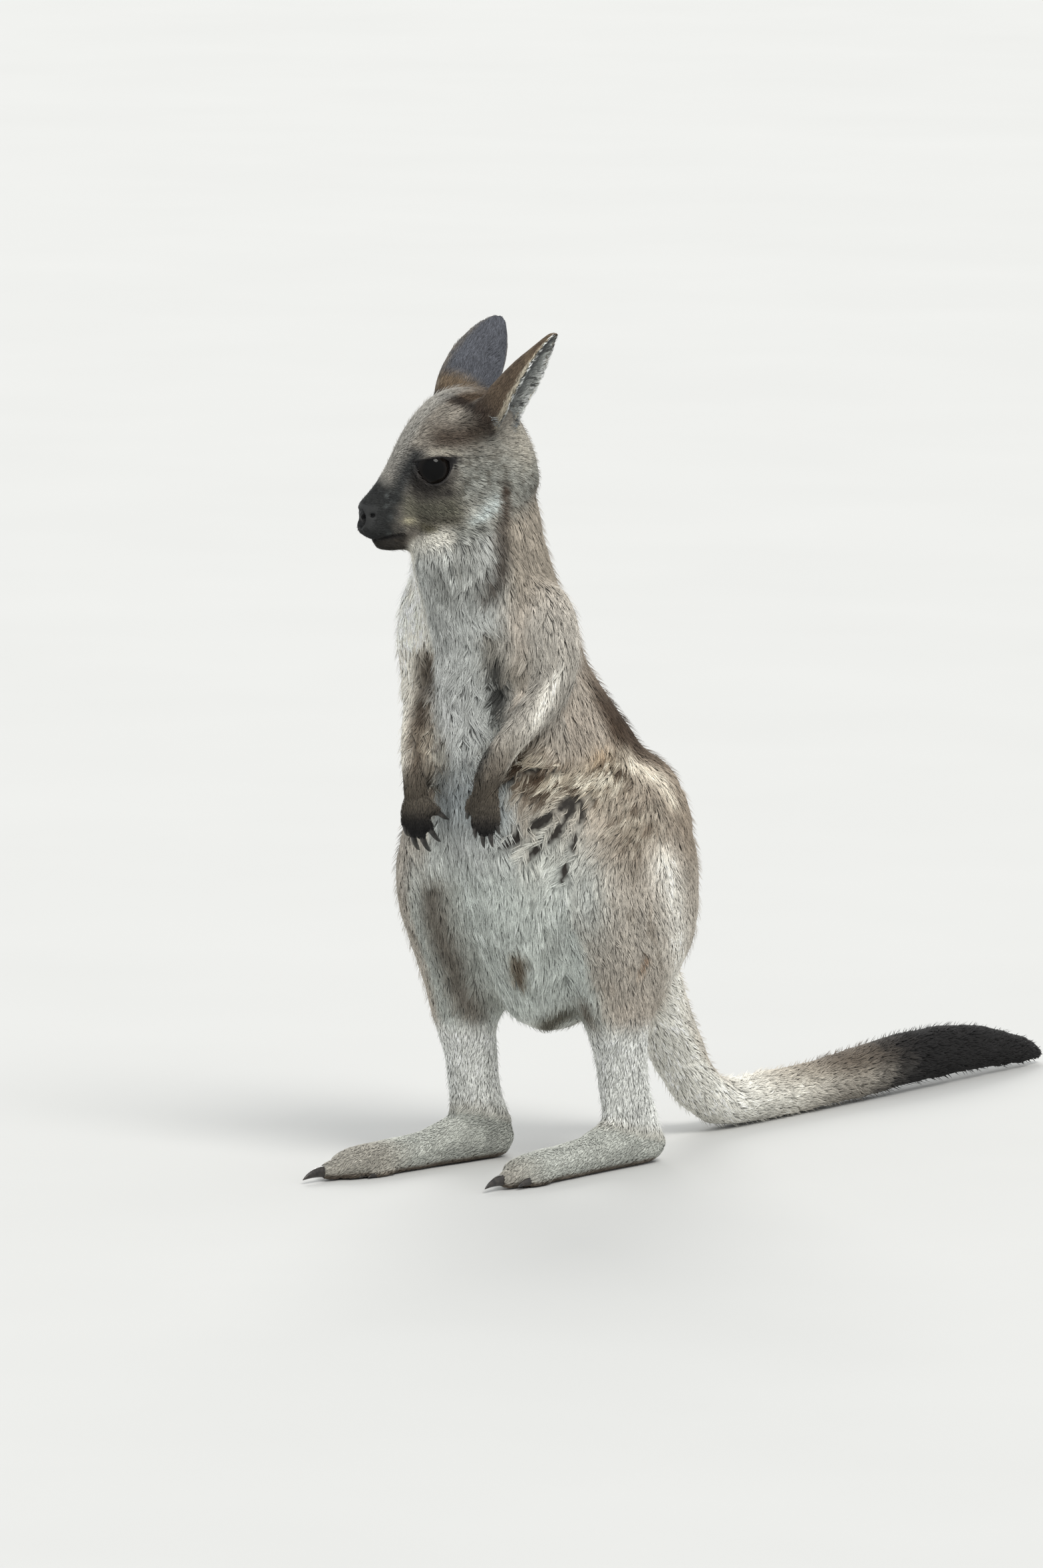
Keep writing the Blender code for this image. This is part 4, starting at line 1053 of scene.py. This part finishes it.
def lie_of_coat(w):
    """The way the hair runs from root to tip, before it is laid on the skin."""
    count = len(w["z"])
    x, y, z = w["x"], w["y"], w["z"]

    def toward(way, vector, weight):
        return way + (np.array(vector, float) - way) * np.clip(weight, 0, 1)[:, None]

    way = np.tile(np.array((0, 0.12, -1.0)), (count, 1))
    side = np.sign(x)
    flank = step(np.abs(x), 28, 46) * bump(z, 228, 40) * (1 - step(y, 0, 30))
    way = toward(way, (0, -0.55, -0.85), flank)
    way[:, 0] -= 0.35 * flank * side
    belt = stroke(mirrored(np.stack((x, y, z), axis=1)), BELT, 18)
    way = toward(way, FLANK_LIE, belt)
    way[:, 0] *= np.where(belt > 0.05, side, 1.0)
    haunch = step(np.abs(x), 44, 58) * bump(z, 150, 60) * (1 - flank)
    way = toward(way, (0, 0.28, -1.0), haunch)
    arm = np.maximum(w["forearm"], step(np.abs(x), 34, 44) * bump(z, 340, 34) * (y < -45))
    way = toward(way, (0, -0.25, -1.0), arm)
    way = toward(way, (0, 1.0, -0.9), w["tail"] * (1 - step(y, 170, 220)))
    way = toward(way, (0, 1.0, -0.05), w["tail"] * step(y, 170, 220))
    way = toward(way, (0, -0.1, -1.0), w["shank"])
    way = toward(way, (0, -1.0, -0.35), w["foot"])
    way = toward(way, (0, -0.05, -1.0), w["hand"])
    low = (1 - step(z, 452, 470)) * 0.6
    back = -AHEAD[None, :] - UP[None, :] * low[:, None] * (1 - step(w["ahead"], 52, 64))[:, None]
    out = np.sign(w["left"])[:, None] * HEAD_LEFT[None, :] * (0.25 * step(w["ahead"], 30, 60))[:, None]
    way = way + (back + out - way) * w["head"][:, None]
    for index, name in enumerate(("left", "right")):
        _, axis, opening, _ = ear_axes(name)
        mine = w["ear"] * (w["which"] == index)
        way = way + (axis - way) * mine[:, None]
        rim = mine * (w["inside"] > 0.5) * step(np.abs(w["across"]), 0.5, 0.8)
        way = way + opening * 0.9 * rim[:, None]
    return unit(way)


def onto_surface(ways, normals):
    return unit(ways - normals * np.sum(ways * normals, axis=1)[:, None])


def swung(ways, normals, angle):
    """Ways turned about the surface's normal."""
    return ways * np.cos(angle)[:, None] + np.cross(normals, ways) * np.sin(angle)[:, None]


def triangles_of(mesh):
    corners = np.empty(len(mesh.loops), np.int32)
    mesh.loops.foreach_get("vertex_index", corners)
    return corners.reshape(-1, 3)


def unwrapped(points, corners, parts, side=0.96):
    """Places of every triangle's corners on a flat map of the skin.

    There is one chart for each part seen along each axis.
    """
    a, b, c = points[corners[:, 0]], points[corners[:, 1]], points[corners[:, 2]]
    normal = np.cross(b - a, c - a)
    axis = np.argmax(np.abs(normal), axis=1)
    facing = np.take_along_axis(normal, axis[:, None], 1)[:, 0] > 0
    charts = parts * 6 + axis * 2 + facing
    flat = np.zeros((len(corners), 3, 2))
    for number in range(3):
        mine = axis == number
        across, up = [k for k in range(3) if k != number]
        flat[mine] = points[corners[mine]][:, :, (across, up)]
    boxes = []
    for chart in np.unique(charts):
        mine = charts == chart
        low = flat[mine].min(axis=(0, 1))
        size = flat[mine].max(axis=(0, 1)) - low
        flat[mine] -= low
        boxes.append((size[1], size[0], chart))
    boxes.sort(reverse=True)
    scale = 1 / 1500
    while True:
        places, x, y, shelf = {}, 0.0, 0.0, 0.0
        for high, wide, chart in boxes:
            if x + wide * scale > side:
                x, y, shelf = 0.0, y + shelf, 0.0
            places[chart] = (x, y)
            x += wide * scale + 0.006
            shelf = max(shelf, high * scale + 0.006)
        if y + shelf <= side:
            break
        scale *= 0.97
    for chart, place in places.items():
        mine = charts == chart
        flat[mine] = flat[mine] * scale + np.array(place) + 0.01
    return flat


def part_numbers(w):
    """A number for each part of the body, for the map's charts."""
    number = 1 + (w["x"] > 0)
    number = np.where(w["z"] > 250, number + 2, number)
    for index, name in enumerate(("tail", "foot", "shank", "forearm", "hand")):
        number = np.where(w[name] > 0.5, 5 + 2 * index + (w["x"] > 0), number)
    number = np.where(w["head"] > 0.5, 15 + (w["left"] > 0), number)
    ear = 17 + 2 * w["which"] + (w["inside"] > 0.5)
    return np.where(w["ear"] > 0.5, ear, number).astype(int)


def tuft_roots(points, corners, plan):
    """Triangles and corner shares of the tufts' roots, spread by density."""
    a, b, c = (points[corners[:, k]] for k in range(3))
    area = np.linalg.norm(np.cross(b - a, c - a), axis=1) / 2
    weight = area * plan["density"][corners].mean(axis=1)
    ladder = np.cumsum(weight)
    picks = (np.arange(TUFTS) + CHANCE.random(TUFTS)) / TUFTS * ladder[-1]
    face = np.minimum(np.searchsorted(ladder, picks), len(corners) - 1)
    u, v = CHANCE.random(TUFTS), CHANCE.random(TUFTS)
    over = u + v > 1
    u, v = np.where(over, 1 - u, u), np.where(over, 1 - v, v)
    return face, np.stack((1 - u - v, u, v), axis=1)


def clumped(roots, normals, ways, lengths, pull, chance):
    """Ends of the tufts, drawn towards the ends of the nearest clump's own tuft."""
    leaders = np.nonzero(CHANCE.random(len(roots)) < chance)[0]
    tree = KDTree(len(leaders))
    for number, leader in enumerate(leaders):
        tree.insert(roots[leader] + normals[leader] * 3, number)
    tree.balance()
    spots = roots + normals * 3
    nearest = np.array([tree.find(spot)[1] for spot in spots])
    leader = leaders[nearest]
    ends = roots + ways * lengths[:, None]
    goal = roots[leader] + ways[leader] * (lengths[leader] * 1.08)[:, None]
    gap = np.linalg.norm(roots[leader] - roots, axis=1)
    pull = pull * (1 - step(gap, 1.0 * lengths, 1.6 * lengths))
    return mix(ends, goal, pull[:, None]), leader


def laid(tree, face_normals, points):
    """The nearest places on the skin and the normals there."""
    places = np.empty_like(points)
    normals = np.empty_like(points)
    for i, point in enumerate(points):
        place, _, face, _ = tree.find_nearest(point)
        places[i] = place
        normals[i] = face_normals[face]
    return places, normals


def tuft_shapes(roots, middles, ends, normals, middle_normals, width):
    """The five corners of each spindle-shaped tuft and their shading normals."""
    way = unit(ends - roots)
    side = unit(np.cross(middle_normals, way))
    half = (width / 2)[:, None]
    left, right = middles - side * half, middles + side * half
    top = middles + middle_normals * half * 0.8
    corners = np.stack((roots, left, right, top, ends), axis=1)
    lean = side * 0.7
    tip = unit(middle_normals + way * 0.2)
    left_out, right_out = unit(middle_normals - lean), unit(middle_normals + lean)
    shading = np.stack((normals, left_out, right_out, middle_normals, tip), axis=1)
    return corners, shading


def tuft_piece(name, corners, shading, colours, spots):
    """One joined mesh of tufts, with its colours and its OFBake map."""
    count = len(corners)
    mesh = bpy.data.meshes.new(name)
    faces = (np.array(TUFT_FACES)[None] + np.arange(count)[:, None, None] * 5).reshape(-1)
    mesh.vertices.add(count * 5)
    mesh.vertices.foreach_set("co", to_row(corners.reshape(-1, 3)).astype(np.float32).ravel())
    mesh.loops.add(len(faces))
    mesh.loops.foreach_set("vertex_index", faces.astype(np.int32))
    mesh.polygons.add(len(faces) // 3)
    mesh.polygons.foreach_set("loop_start", np.arange(0, len(faces), 3, dtype=np.int32))
    mesh.polygons.foreach_set("use_smooth", np.ones(len(faces) // 3, bool))
    mesh.update(calc_edges=True)
    paint(mesh, colours.reshape(-1, 3))
    patch = np.array(((0.5, 0), (0, 0.5), (1, 0.5), (0.5, 0.55), (0.5, 1))) * PATCH - PATCH / 2
    places = (spots[:, None] + patch[None]).reshape(-1, 2)[faces]
    layer = mesh.uv_layers.new(name="OFBake")
    layer.data.foreach_set("uv", np.clip(places, 0.001, 0.999).astype(np.float32).ravel())
    mesh.normals_split_custom_set_from_vertices(shading.reshape(-1, 3).astype(np.float32))
    item = bpy.data.objects.new(name, mesh)
    bpy.context.scene.collection.objects.link(item)
    return item


def coat_groups(w):
    """The coat's pieces: a name, a record slot and the tufts of each."""
    ear, head, hand = w["ear"] > 0.5, w["head"] > 0.5, w["hand"] > 0.5
    tail, low = w["tail"] > 0.5, (w["foot"] + w["shank"]) > 0.5
    front_line = np.interp(w["z"], (90, 160, 240, 330, 420), (0, -25, -50, -60, -76))
    front = (w["y"] < front_line) & (np.abs(w["x"]) < 40)
    dark = hand | (tail & (w["y"] > 380))
    taken = np.zeros(len(ear), bool)
    groups = []
    for name, slot, mine in (
        ("coat_dark_ends", "fur_dark", dark),
        ("coat_ears", "fur_brown", ear),
        ("coat_head", "fur_brown", head),
        ("coat_tail", "fur_brown", tail),
        ("coat_legs", "fur_pale", low),
        ("coat_front", "fur_pale", front),
        ("coat_trunk", "fur_brown", ~taken),
    ):
        members = np.nonzero(mine & ~taken)[0]
        taken[members] = True
        pieces = max(1, math.ceil(len(members) / TUFTS_PER_PIECE))
        for index, share in enumerate(np.array_split(members, pieces)):
            groups.append((f"{name}_{index + 1}" if pieces > 1 else name, slot, share))
    return groups


def make_coat(skin, where):
    mesh = skin.data
    points, normals, corners = positions(mesh), normals_of(mesh), triangles_of(mesh)
    plan = coat_plan(where)
    bare = step(eye_opening(where["ahead"], where["z"]), -2.6, -1.6) * (where["aside"] > 12) * where["head"]
    nose = (where["ahead"] > 69) * (where["aside"] < 11) * (where["z"] > 427) * (where["z"] < 442)
    under = where["z"] < 1.2
    plan["density"] = plan["density"] * (1 - bare) * (1 - nose) * (1 - under)
    face, shares = tuft_roots(points, corners, plan)
    three = corners[face]

    def at_roots(values):
        share = shares if values.ndim == 1 else shares[:, :, None]
        return (values[three] * share).sum(axis=1)

    roots, up = at_roots(points), unit(at_roots(normals))
    w = {key: at_roots(value.astype(float)) for key, value in where.items()}
    w["which"] = np.round(w["which"]).astype(int)
    plan = {key: at_roots(value) for key, value in plan.items()}
    flat = unwrapped(points, corners, part_numbers({k: v[corners[:, 0]] for k, v in where.items()}))
    spots = (flat[face] * shares[:, :, None]).sum(axis=1)

    outer, w_outer = at_outline(roots, up, w)
    gap, away = parting_gap(outer)
    keep = gap > 0.7
    chance = mix(0.10, 0.055, np.clip(plan["wave"] - 0.28, 0, 0.5) * 2)
    rough = CHANCE.random(TUFTS)
    length = plan["length"] * (0.72 + 0.5 * rough)
    ways = onto_surface(lie_of_coat(w), up)
    turn = plan["wave"] * (noise(roots, 14, 21) + 0.35 * CHANCE.standard_normal(TUFTS))
    ways = swung(ways, up, turn)
    beside = (1 - step(gap, 1.0, 3.2)) * (gap > 0)
    ways = unit(ways + onto_surface(away, up) * 0.9 * beside[:, None])
    ends, leader = clumped(roots, up, ways, length, plan["clump"], chance)
    middles = roots + ways * (length * 0.5)[:, None] * 0.9 + (ends - roots - ways * length[:, None]) * 0.22

    face_normals = unit(normals[corners].sum(axis=1))
    tree = BVHTree.FromPolygons([Vector(p) for p in points], corners.tolist())
    tips, tip_up = laid(tree, face_normals, ends)
    centres, centre_up = laid(tree, face_normals, middles)
    lift = plan["lift"] * (0.75 + 0.45 * CHANCE.random(TUFTS)) * (0.85 + 0.35 * noise(roots, 12, 31))
    tips = tips + tip_up * lift[:, None]
    centres = centres + centre_up * (lift * 0.78)[:, None]
    across = np.minimum(parting_gap(centres)[0], parting_gap(tips)[0])
    keep &= across > 0.7
    guard = (np.random.default_rng(11).random(TUFTS) < GUARD_SHARE) * (1 - w["ear"])
    guard = guard * (1 - w["hand"]) * (1 - w["foot"])
    stand = guard * np.minimum(0.42 * plan["length"], 3.6)
    tips = tips + tip_up * stand[:, None]
    centres = centres + centre_up * (0.35 * stand)[:, None]
    sunk = roots - up * (0.35 * plan["width"])[:, None]
    width = plan["width"] * (0.8 + 0.4 * rough) * (1 - 0.4 * guard)
    corner_spots, shading = tuft_shapes(sunk, centres, tips, up, centre_up, width)

    colour = linear(markings(outer, w_outer))
    contrast = 0.34 + 0.26 * np.maximum(w["head"], w["ear"])
    strand = 1 + contrast * (CHANCE.random(TUFTS) - 0.5)
    strand = strand * (0.9 + 0.2 * np.random.default_rng(7).random(TUFTS)[leader])
    pale = (CHANCE.random(TUFTS) < 0.10) * 0.35 * (1 - w["hand"])
    colour = colour * (strand + pale)[:, None]
    shade = np.array((0.65, 0.92, 0.92, 1.02, 1.2))
    shade = shade[None, :, None] ** (0.6 + 0.4 * (plan["length"] > 5))[:, None, None]
    colours = np.clip(colour[:, None] * shade, 0, 1)

    made = []
    for name, slot, members in coat_groups(w):
        members = members[keep[members]]
        piece = tuft_piece(name, corner_spots[members], shading[members], colours[members], spots[members])
        piece.data.materials.append(coat_material(slot))
        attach(piece, "root")
        made.append(piece)
    return made


# ---- materials ----------------------------------------------------------------------------------
class Nodes:
    """Small helper that adds and links the nodes of one material."""

    def __init__(self, name):
        self.material = bpy.data.materials.new(name)
        self.material.use_nodes = True
        self.tree = self.material.node_tree
        self.shader = next(node for node in self.tree.nodes if node.type == "BSDF_PRINCIPLED")
        self.place = self.add("ShaderNodeTexCoord").outputs["Object"]

    def add(self, kind, **settings):
        node = self.tree.nodes.new(kind)
        for key, value in settings.items():
            setattr(node, key, value)
        return node

    def link(self, source, target):
        self.tree.links.new(source, target)

    def noise(self, scale, detail=3.0, roughness=0.55):
        node = self.add("ShaderNodeTexNoise")
        node.inputs["Scale"].default_value = scale
        node.inputs["Detail"].default_value = detail
        node.inputs["Roughness"].default_value = roughness
        self.link(self.place, node.inputs["Vector"])
        return node.outputs["Fac"]

    def range(self, source, low, high, new_low, new_high):
        node = self.add("ShaderNodeMapRange")
        for key, value in (("From Min", low), ("From Max", high), ("To Min", new_low), ("To Max", new_high)):
            node.inputs[key].default_value = value
        self.link(source, node.inputs["Value"])
        return node.outputs["Result"]

    def tinted(self, colour, amount):
        """A colour made lighter or darker by a value."""
        node = self.add("ShaderNodeVectorMath", operation="SCALE")
        self.link(colour, node.inputs[0])
        self.link(amount, node.inputs["Scale"])
        return node.outputs["Vector"]

    def bump(self, height, strength, distance):
        node = self.add("ShaderNodeBump")
        node.inputs["Strength"].default_value = strength
        node.inputs["Distance"].default_value = distance
        self.link(height, node.inputs["Height"])
        self.link(node.outputs["Normal"], self.shader.inputs["Normal"])

    def set(self, **values):
        for key, value in values.items():
            self.shader.inputs[key.replace("_", " ")].default_value = value


def coat_material(slot):
    """Matt hair whose colour is the marking stored with each tuft, with a fine grizzle."""
    name = f"{slot}_hair"
    if name in bpy.data.materials:
        return bpy.data.materials[name]
    nodes = Nodes(name)
    marking = nodes.add("ShaderNodeAttribute", attribute_name="Coat").outputs["Color"]
    grizzle = nodes.range(nodes.noise(900, 2), 0.3, 0.7, 0.86, 1.14)
    nodes.link(nodes.tinted(marking, grizzle), nodes.shader.inputs["Base Color"])
    nodes.set(Roughness=0.78, Specular_IOR_Level=0.12, Sheen_Weight=0.04, Sheen_Roughness=0.5)
    return nodes.material


def skin_material():
    """The undercoat: the same markings, with the short flat hair as bump."""
    nodes = Nodes("undercoat")
    marking = nodes.add("ShaderNodeAttribute", attribute_name="Coat").outputs["Color"]
    fine = nodes.noise(1600, 3, 0.7)
    shade = nodes.range(fine, 0.3, 0.7, 0.80, 1.16)
    nodes.link(nodes.tinted(marking, shade), nodes.shader.inputs["Base Color"])
    nodes.link(nodes.range(nodes.noise(500), 0.3, 0.7, 0.58, 0.78), nodes.shader.inputs["Roughness"])
    nodes.bump(fine, 0.45, 0.0006)
    nodes.set(Specular_IOR_Level=0.3)
    return nodes.material


def eye_material():
    nodes = Nodes("wet_eye")
    iris = nodes.add("ShaderNodeAttribute", attribute_name="Coat").outputs["Color"]
    fibres = nodes.range(nodes.noise(900, 4), 0.3, 0.7, 0.75, 1.3)
    nodes.link(nodes.tinted(iris, fibres), nodes.shader.inputs["Base Color"])
    nodes.link(nodes.range(nodes.noise(120), 0.3, 0.7, 0.05, 0.12), nodes.shader.inputs["Roughness"])
    nodes.set(Specular_IOR_Level=0.03, Coat_Weight=0.16, Coat_Roughness=0.03)
    return nodes.material


def nose_material():
    nodes = Nodes("nose_skin")
    colour = nodes.add("ShaderNodeAttribute", attribute_name="Coat").outputs["Color"]
    pebbles = nodes.add("ShaderNodeTexVoronoi", feature="F1")
    pebbles.inputs["Scale"].default_value = 1300
    nodes.link(nodes.place, pebbles.inputs["Vector"])
    shade = nodes.range(pebbles.outputs["Distance"], 0.0, 0.7, 1.25, 0.7)
    nodes.link(nodes.tinted(colour, shade), nodes.shader.inputs["Base Color"])
    nodes.link(nodes.range(nodes.noise(700), 0.3, 0.7, 0.36, 0.55), nodes.shader.inputs["Roughness"])
    nodes.bump(nodes.range(pebbles.outputs["Distance"], 0.0, 0.7, 1.0, 0.0), 0.6, 0.0004)
    nodes.set(Specular_IOR_Level=0.08)
    return nodes.material


def claw_material():
    nodes = Nodes("claw_horn")
    mixer = nodes.add("ShaderNodeMix", data_type="RGBA")
    mixer.inputs["A"].default_value = (0.014, 0.012, 0.011, 1)
    mixer.inputs["B"].default_value = (0.05, 0.042, 0.036, 1)
    nodes.link(nodes.range(nodes.noise(350, 4), 0.4, 0.75, 0, 1), mixer.inputs["Factor"])
    nodes.link(mixer.outputs["Result"], nodes.shader.inputs["Base Color"])
    nodes.link(nodes.range(nodes.noise(500), 0.3, 0.7, 0.28, 0.46), nodes.shader.inputs["Roughness"])
    nodes.bump(nodes.noise(1500, 2), 0.25, 0.0003)
    return nodes.material


# ---- eyes, nose pad and whiskers ------------------------------------------------------------------
def make_eye(side):
    """A near-black eyeball, bulging at the cornea, with a faint ring for the iris."""
    sign = 1 if side == "left" else -1
    centre = head_point(EYE[0], sign * EYE[1], EYE[2])
    look = head_direction(0.22, sign * 1.0, 0.02)
    up = unit_of(*(UP - look * (look @ UP)))
    bm = bmesh.new()
    bmesh.ops.create_uvsphere(bm, u_segments=64, v_segments=48, radius=1.0)
    for vert in bm.verts:
        spot = np.array(vert.co)
        bulge = 1 + 0.035 * float(step(spot[2], 0.62, 0.92))
        place = centre + (np.cross(up, look) * spot[0] + up * spot[1] + look * spot[2]) * EYE_RADIUS * bulge
        vert.co = to_row(place)
    eye = mesh_object(f"eyeball_{side}", bm)
    spots = positions(eye.data) - centre
    off = np.degrees(np.arccos(np.clip(unit(spots) @ look, -1, 1)))
    colour = np.tile(np.array((6.0, 6, 6)), (len(spots), 1))
    colour = blend_to(colour, (15, 12, 10), step(off, 30, 36) * (1 - step(off, 47, 53)))
    colour = blend_to(colour, (10, 8, 8), step(off, 52, 58))
    paint(eye.data, linear(colour))
    eye.data.materials.append(eye_material())
    return eye


NOSE = (70.3, 434.6)            # middle of the pad: ahead and height
NOSE_SIZE = (7.2, 10.2, 7.4)    # half length, half width and half height


def make_nose():
    """The bare pad at the muzzle's tip, with a comma-shaped nostril on each side."""
    bm = bmesh.new()
    bmesh.ops.create_uvsphere(bm, u_segments=96, v_segments=64, radius=1.0)
    colours = []
    for vert in bm.verts:
        ahead, side, up = vert.co.y, vert.co.x, vert.co.z
        wide = NOSE_SIZE[1] * (1.0 + 0.10 * up - 0.12 * max(-up, 0) ** 2)
        away = math.hypot((abs(side) - 0.63) / 0.20, (up + 0.02 - 0.35 * (abs(side) - 0.63)) / 0.15)
        tail = math.hypot((abs(side) - 0.86) / 0.13, (up - 0.10) / 0.10)
        hole = max(math.exp(-away ** 2 * 1.2), 0.8 * math.exp(-tail ** 2 * 1.2)) * (ahead > 0.0)
        rim = math.exp(-((away - 1.75) / 0.5) ** 2) * (ahead > 0.0)
        split = math.exp(-(side / 0.06) ** 2) * float(step(-up, 0.05, 0.5)) * (ahead > 0)
        size = 1 - 0.30 * hole + 0.05 * rim - 0.05 * split
        flat = 1 - 0.10 * abs(up) ** 3
        place = head_point(
            NOSE[0] + ahead * NOSE_SIZE[0] * size * flat - 0.6 * up,
            side * wide * (1 - 0.12 * hole),
            NOSE[1] + up * NOSE_SIZE[2] * (1 - 0.1 * hole),
        )
        vert.co = to_row(place)
        # painted shade: the nostrils near black and the groove between them darker
        colours.append(1 - 0.92 * hole - 0.3 * split)
    nose = mesh_object("nose_pad", bm)
    tone = np.array((17.0, 17, 18))[None] * np.array(colours)[:, None]
    paint(nose.data, linear(tone))
    nose.data.materials.append(nose_material())
    return nose


def make_whiskers():
    """Fine black whiskers on the lips, chin and over the eyes, and the upper lashes."""
    bm = bmesh.new()
    chance = np.random.default_rng(5)
    for sign in (1, -1):
        for row_number in range(3):
            for index in range(6):
                ahead = 64 - 3.2 * index - row_number
                height = 431 - 2.6 * row_number + 0.4 * index
                root = head_point(ahead, sign * (9.6 + 0.35 * index), height)
                way = head_direction(-0.35 - 0.1 * index, sign * 1.0, -0.35 + 0.2 * chance.random())
                hair(bm, root - way * 2, way, 11 + 7 * chance.random(), 0.11, -0.25)
        for index in range(9):
            share = index / 8
            ahead = EYE[0] - 7 + 16 * share
            root = head_point(ahead, sign * (EYE[1] + 12.0 - 3.0 * (share - 0.5) ** 2 * 4), EYE[2] + 8.6)
            way = head_direction(0.15 + 0.35 * share, sign * 0.9, 0.25)
            hair(bm, root - way * 1.0, way, 4.2 + 1.6 * chance.random(), 0.14, -0.5)
        for index in range(3):
            root = head_point(34 + 3 * index, sign * 27, 480)
            hair(bm, root - UP, head_direction(-0.2, sign * 0.7, 0.6), 9, 0.10, -0.2)
    item = mesh_object("whiskers", bm)
    item.data.materials.append(claw_material())
    return item


def hair(bm, root, way, length, radius, sag):
    """A thin tapered hair that bends down or up by sag."""
    points, sizes = [], []
    for i in range(6):
        share = i / 5
        points.append(root + way * length * share + UP * sag * length * share ** 2 * 0.5)
        sizes.append(radius * (1 - 0.85 * share))
    add_tube(bm, points, unit_of(*np.cross(way, UP)), sizes, sizes, 4)


# ---- floor, light and camera ----------------------------------------------------------------------
VIEW_AZIMUTH, VIEW_ELEVATION = 35.0, 7.0
VIEW_HEIGHT = 1.0270            # metres of the picture's height at the animal
VIEW_DISTANCE = 11.0
VIEW_ASIDE, VIEW_UP = -17.5, 248.8     # where the camera looks, in millimetres from the rump's place


def facing(item, target):
    item.rotation_euler = (Vector(target) - item.location).to_track_quat("-Z", "Y").to_euler()


def make_floor():
    bm = bmesh.new()
    bmesh.ops.create_circle(bm, cap_ends=True, segments=96, radius=30.0)
    floor = mesh_object("studio_floor", bm)
    nodes = Nodes("pale_floor")
    mixer = nodes.add("ShaderNodeMix", data_type="RGBA")
    mixer.inputs["A"].default_value = (0.50, 0.50, 0.49, 1)
    mixer.inputs["B"].default_value = (0.53, 0.53, 0.52, 1)
    nodes.link(nodes.noise(3, 2), mixer.inputs["Factor"])
    nodes.link(mixer.outputs["Result"], nodes.shader.inputs["Base Color"])
    nodes.set(Roughness=0.85, Specular_IOR_Level=0.1)
    floor.data.materials.append(nodes.material)


def add_lamp(name, place, angle, power, colour):
    """A distant soft lamp that shines from place towards the animal."""
    lamp = bpy.data.lights.new(name, "SUN")
    lamp.angle = math.radians(angle)
    lamp.energy = power
    lamp.color = colour
    item = bpy.data.objects.new(name, lamp)
    bpy.context.scene.collection.objects.link(item)
    item.location = place
    facing(item, (0, -0.2, 0.3))


def make_light():
    world = bpy.data.worlds.new("studio")
    world.use_nodes = True
    ground = world.node_tree.nodes["Background"]
    ground.inputs["Color"].default_value = (0.88, 0.905, 0.92, 1)
    ground.inputs["Strength"].default_value = 0.95
    bpy.context.scene.world = world
    add_lamp("key", (1.9, -1.2, 3.0), 24, 2.1, (1.0, 0.98, 0.94))
    add_lamp("back", (-1.6, 1.8, 1.6), 30, 1.5, (1.0, 0.99, 0.96))


def make_camera():
    turn, tilt = math.radians(VIEW_AZIMUTH), math.radians(VIEW_ELEVATION)
    toward = np.array((math.sin(turn) * math.cos(tilt), -math.cos(turn) * math.cos(tilt), math.sin(tilt)))
    across = np.array((math.cos(turn), math.sin(turn), 0))
    up = np.cross(toward, across)
    target = Vector(to_row(across * VIEW_ASIDE + up * VIEW_UP))
    camera = bpy.data.cameras.new("photo_view")
    camera.sensor_fit = "VERTICAL"
    camera.sensor_height = 36
    camera.lens = 36 * VIEW_DISTANCE / VIEW_HEIGHT
    camera.clip_end = 100
    item = bpy.data.objects.new("photo_view", camera)
    bpy.context.scene.collection.objects.link(item)
    item.location = target + Vector(toward) * VIEW_DISTANCE
    facing(item, target)
    bpy.context.scene.camera = item


# ---- putting it together --------------------------------------------------------------------------
def finish_piece(piece, slot, *nodes):
    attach(piece, "root")
    if nodes:
        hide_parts(*nodes)


def paint_skin(skin, where):
    outer, w = at_outline(positions(skin.data), normals_of(skin.data), where)
    colour = linear(markings(outer, w))
    # the undercoat a little darker than the coat and near black at the partings: partly dark underfur,
    # partly painted shade in the coat's gaps
    gap, _ = parting_gap(outer)
    dark = (1 - step(gap, 0.7, 1.3))[:, None]
    colour = mix(colour * 0.85, linear((44, 40, 36)), dark)
    paint(skin.data, colour)


skin = make_skin()
where = regions(positions(skin.data), normals_of(skin.data))
paint_skin(skin, where)
skin.data.materials.append(skin_material())
finish_piece(skin, "fur_brown", *FLESH, "ear_left", "ear_right")
make_coat(skin, where)

for side in ("left", "right"):
    finish_piece(make_eye(side), "eye_gloss", f"eye_{side}")
finish_piece(make_nose(), "nose_skin", "nose")
finish_piece(make_whiskers(), "claw_horn")
claws, claw_nodes = all_claws()
claws.data.materials.append(claw_material())
finish_piece(claws, "claw_horn", *claw_nodes)

make_floor()
make_light()
make_camera()
bpy.context.scene.view_settings.view_transform = "Standard"
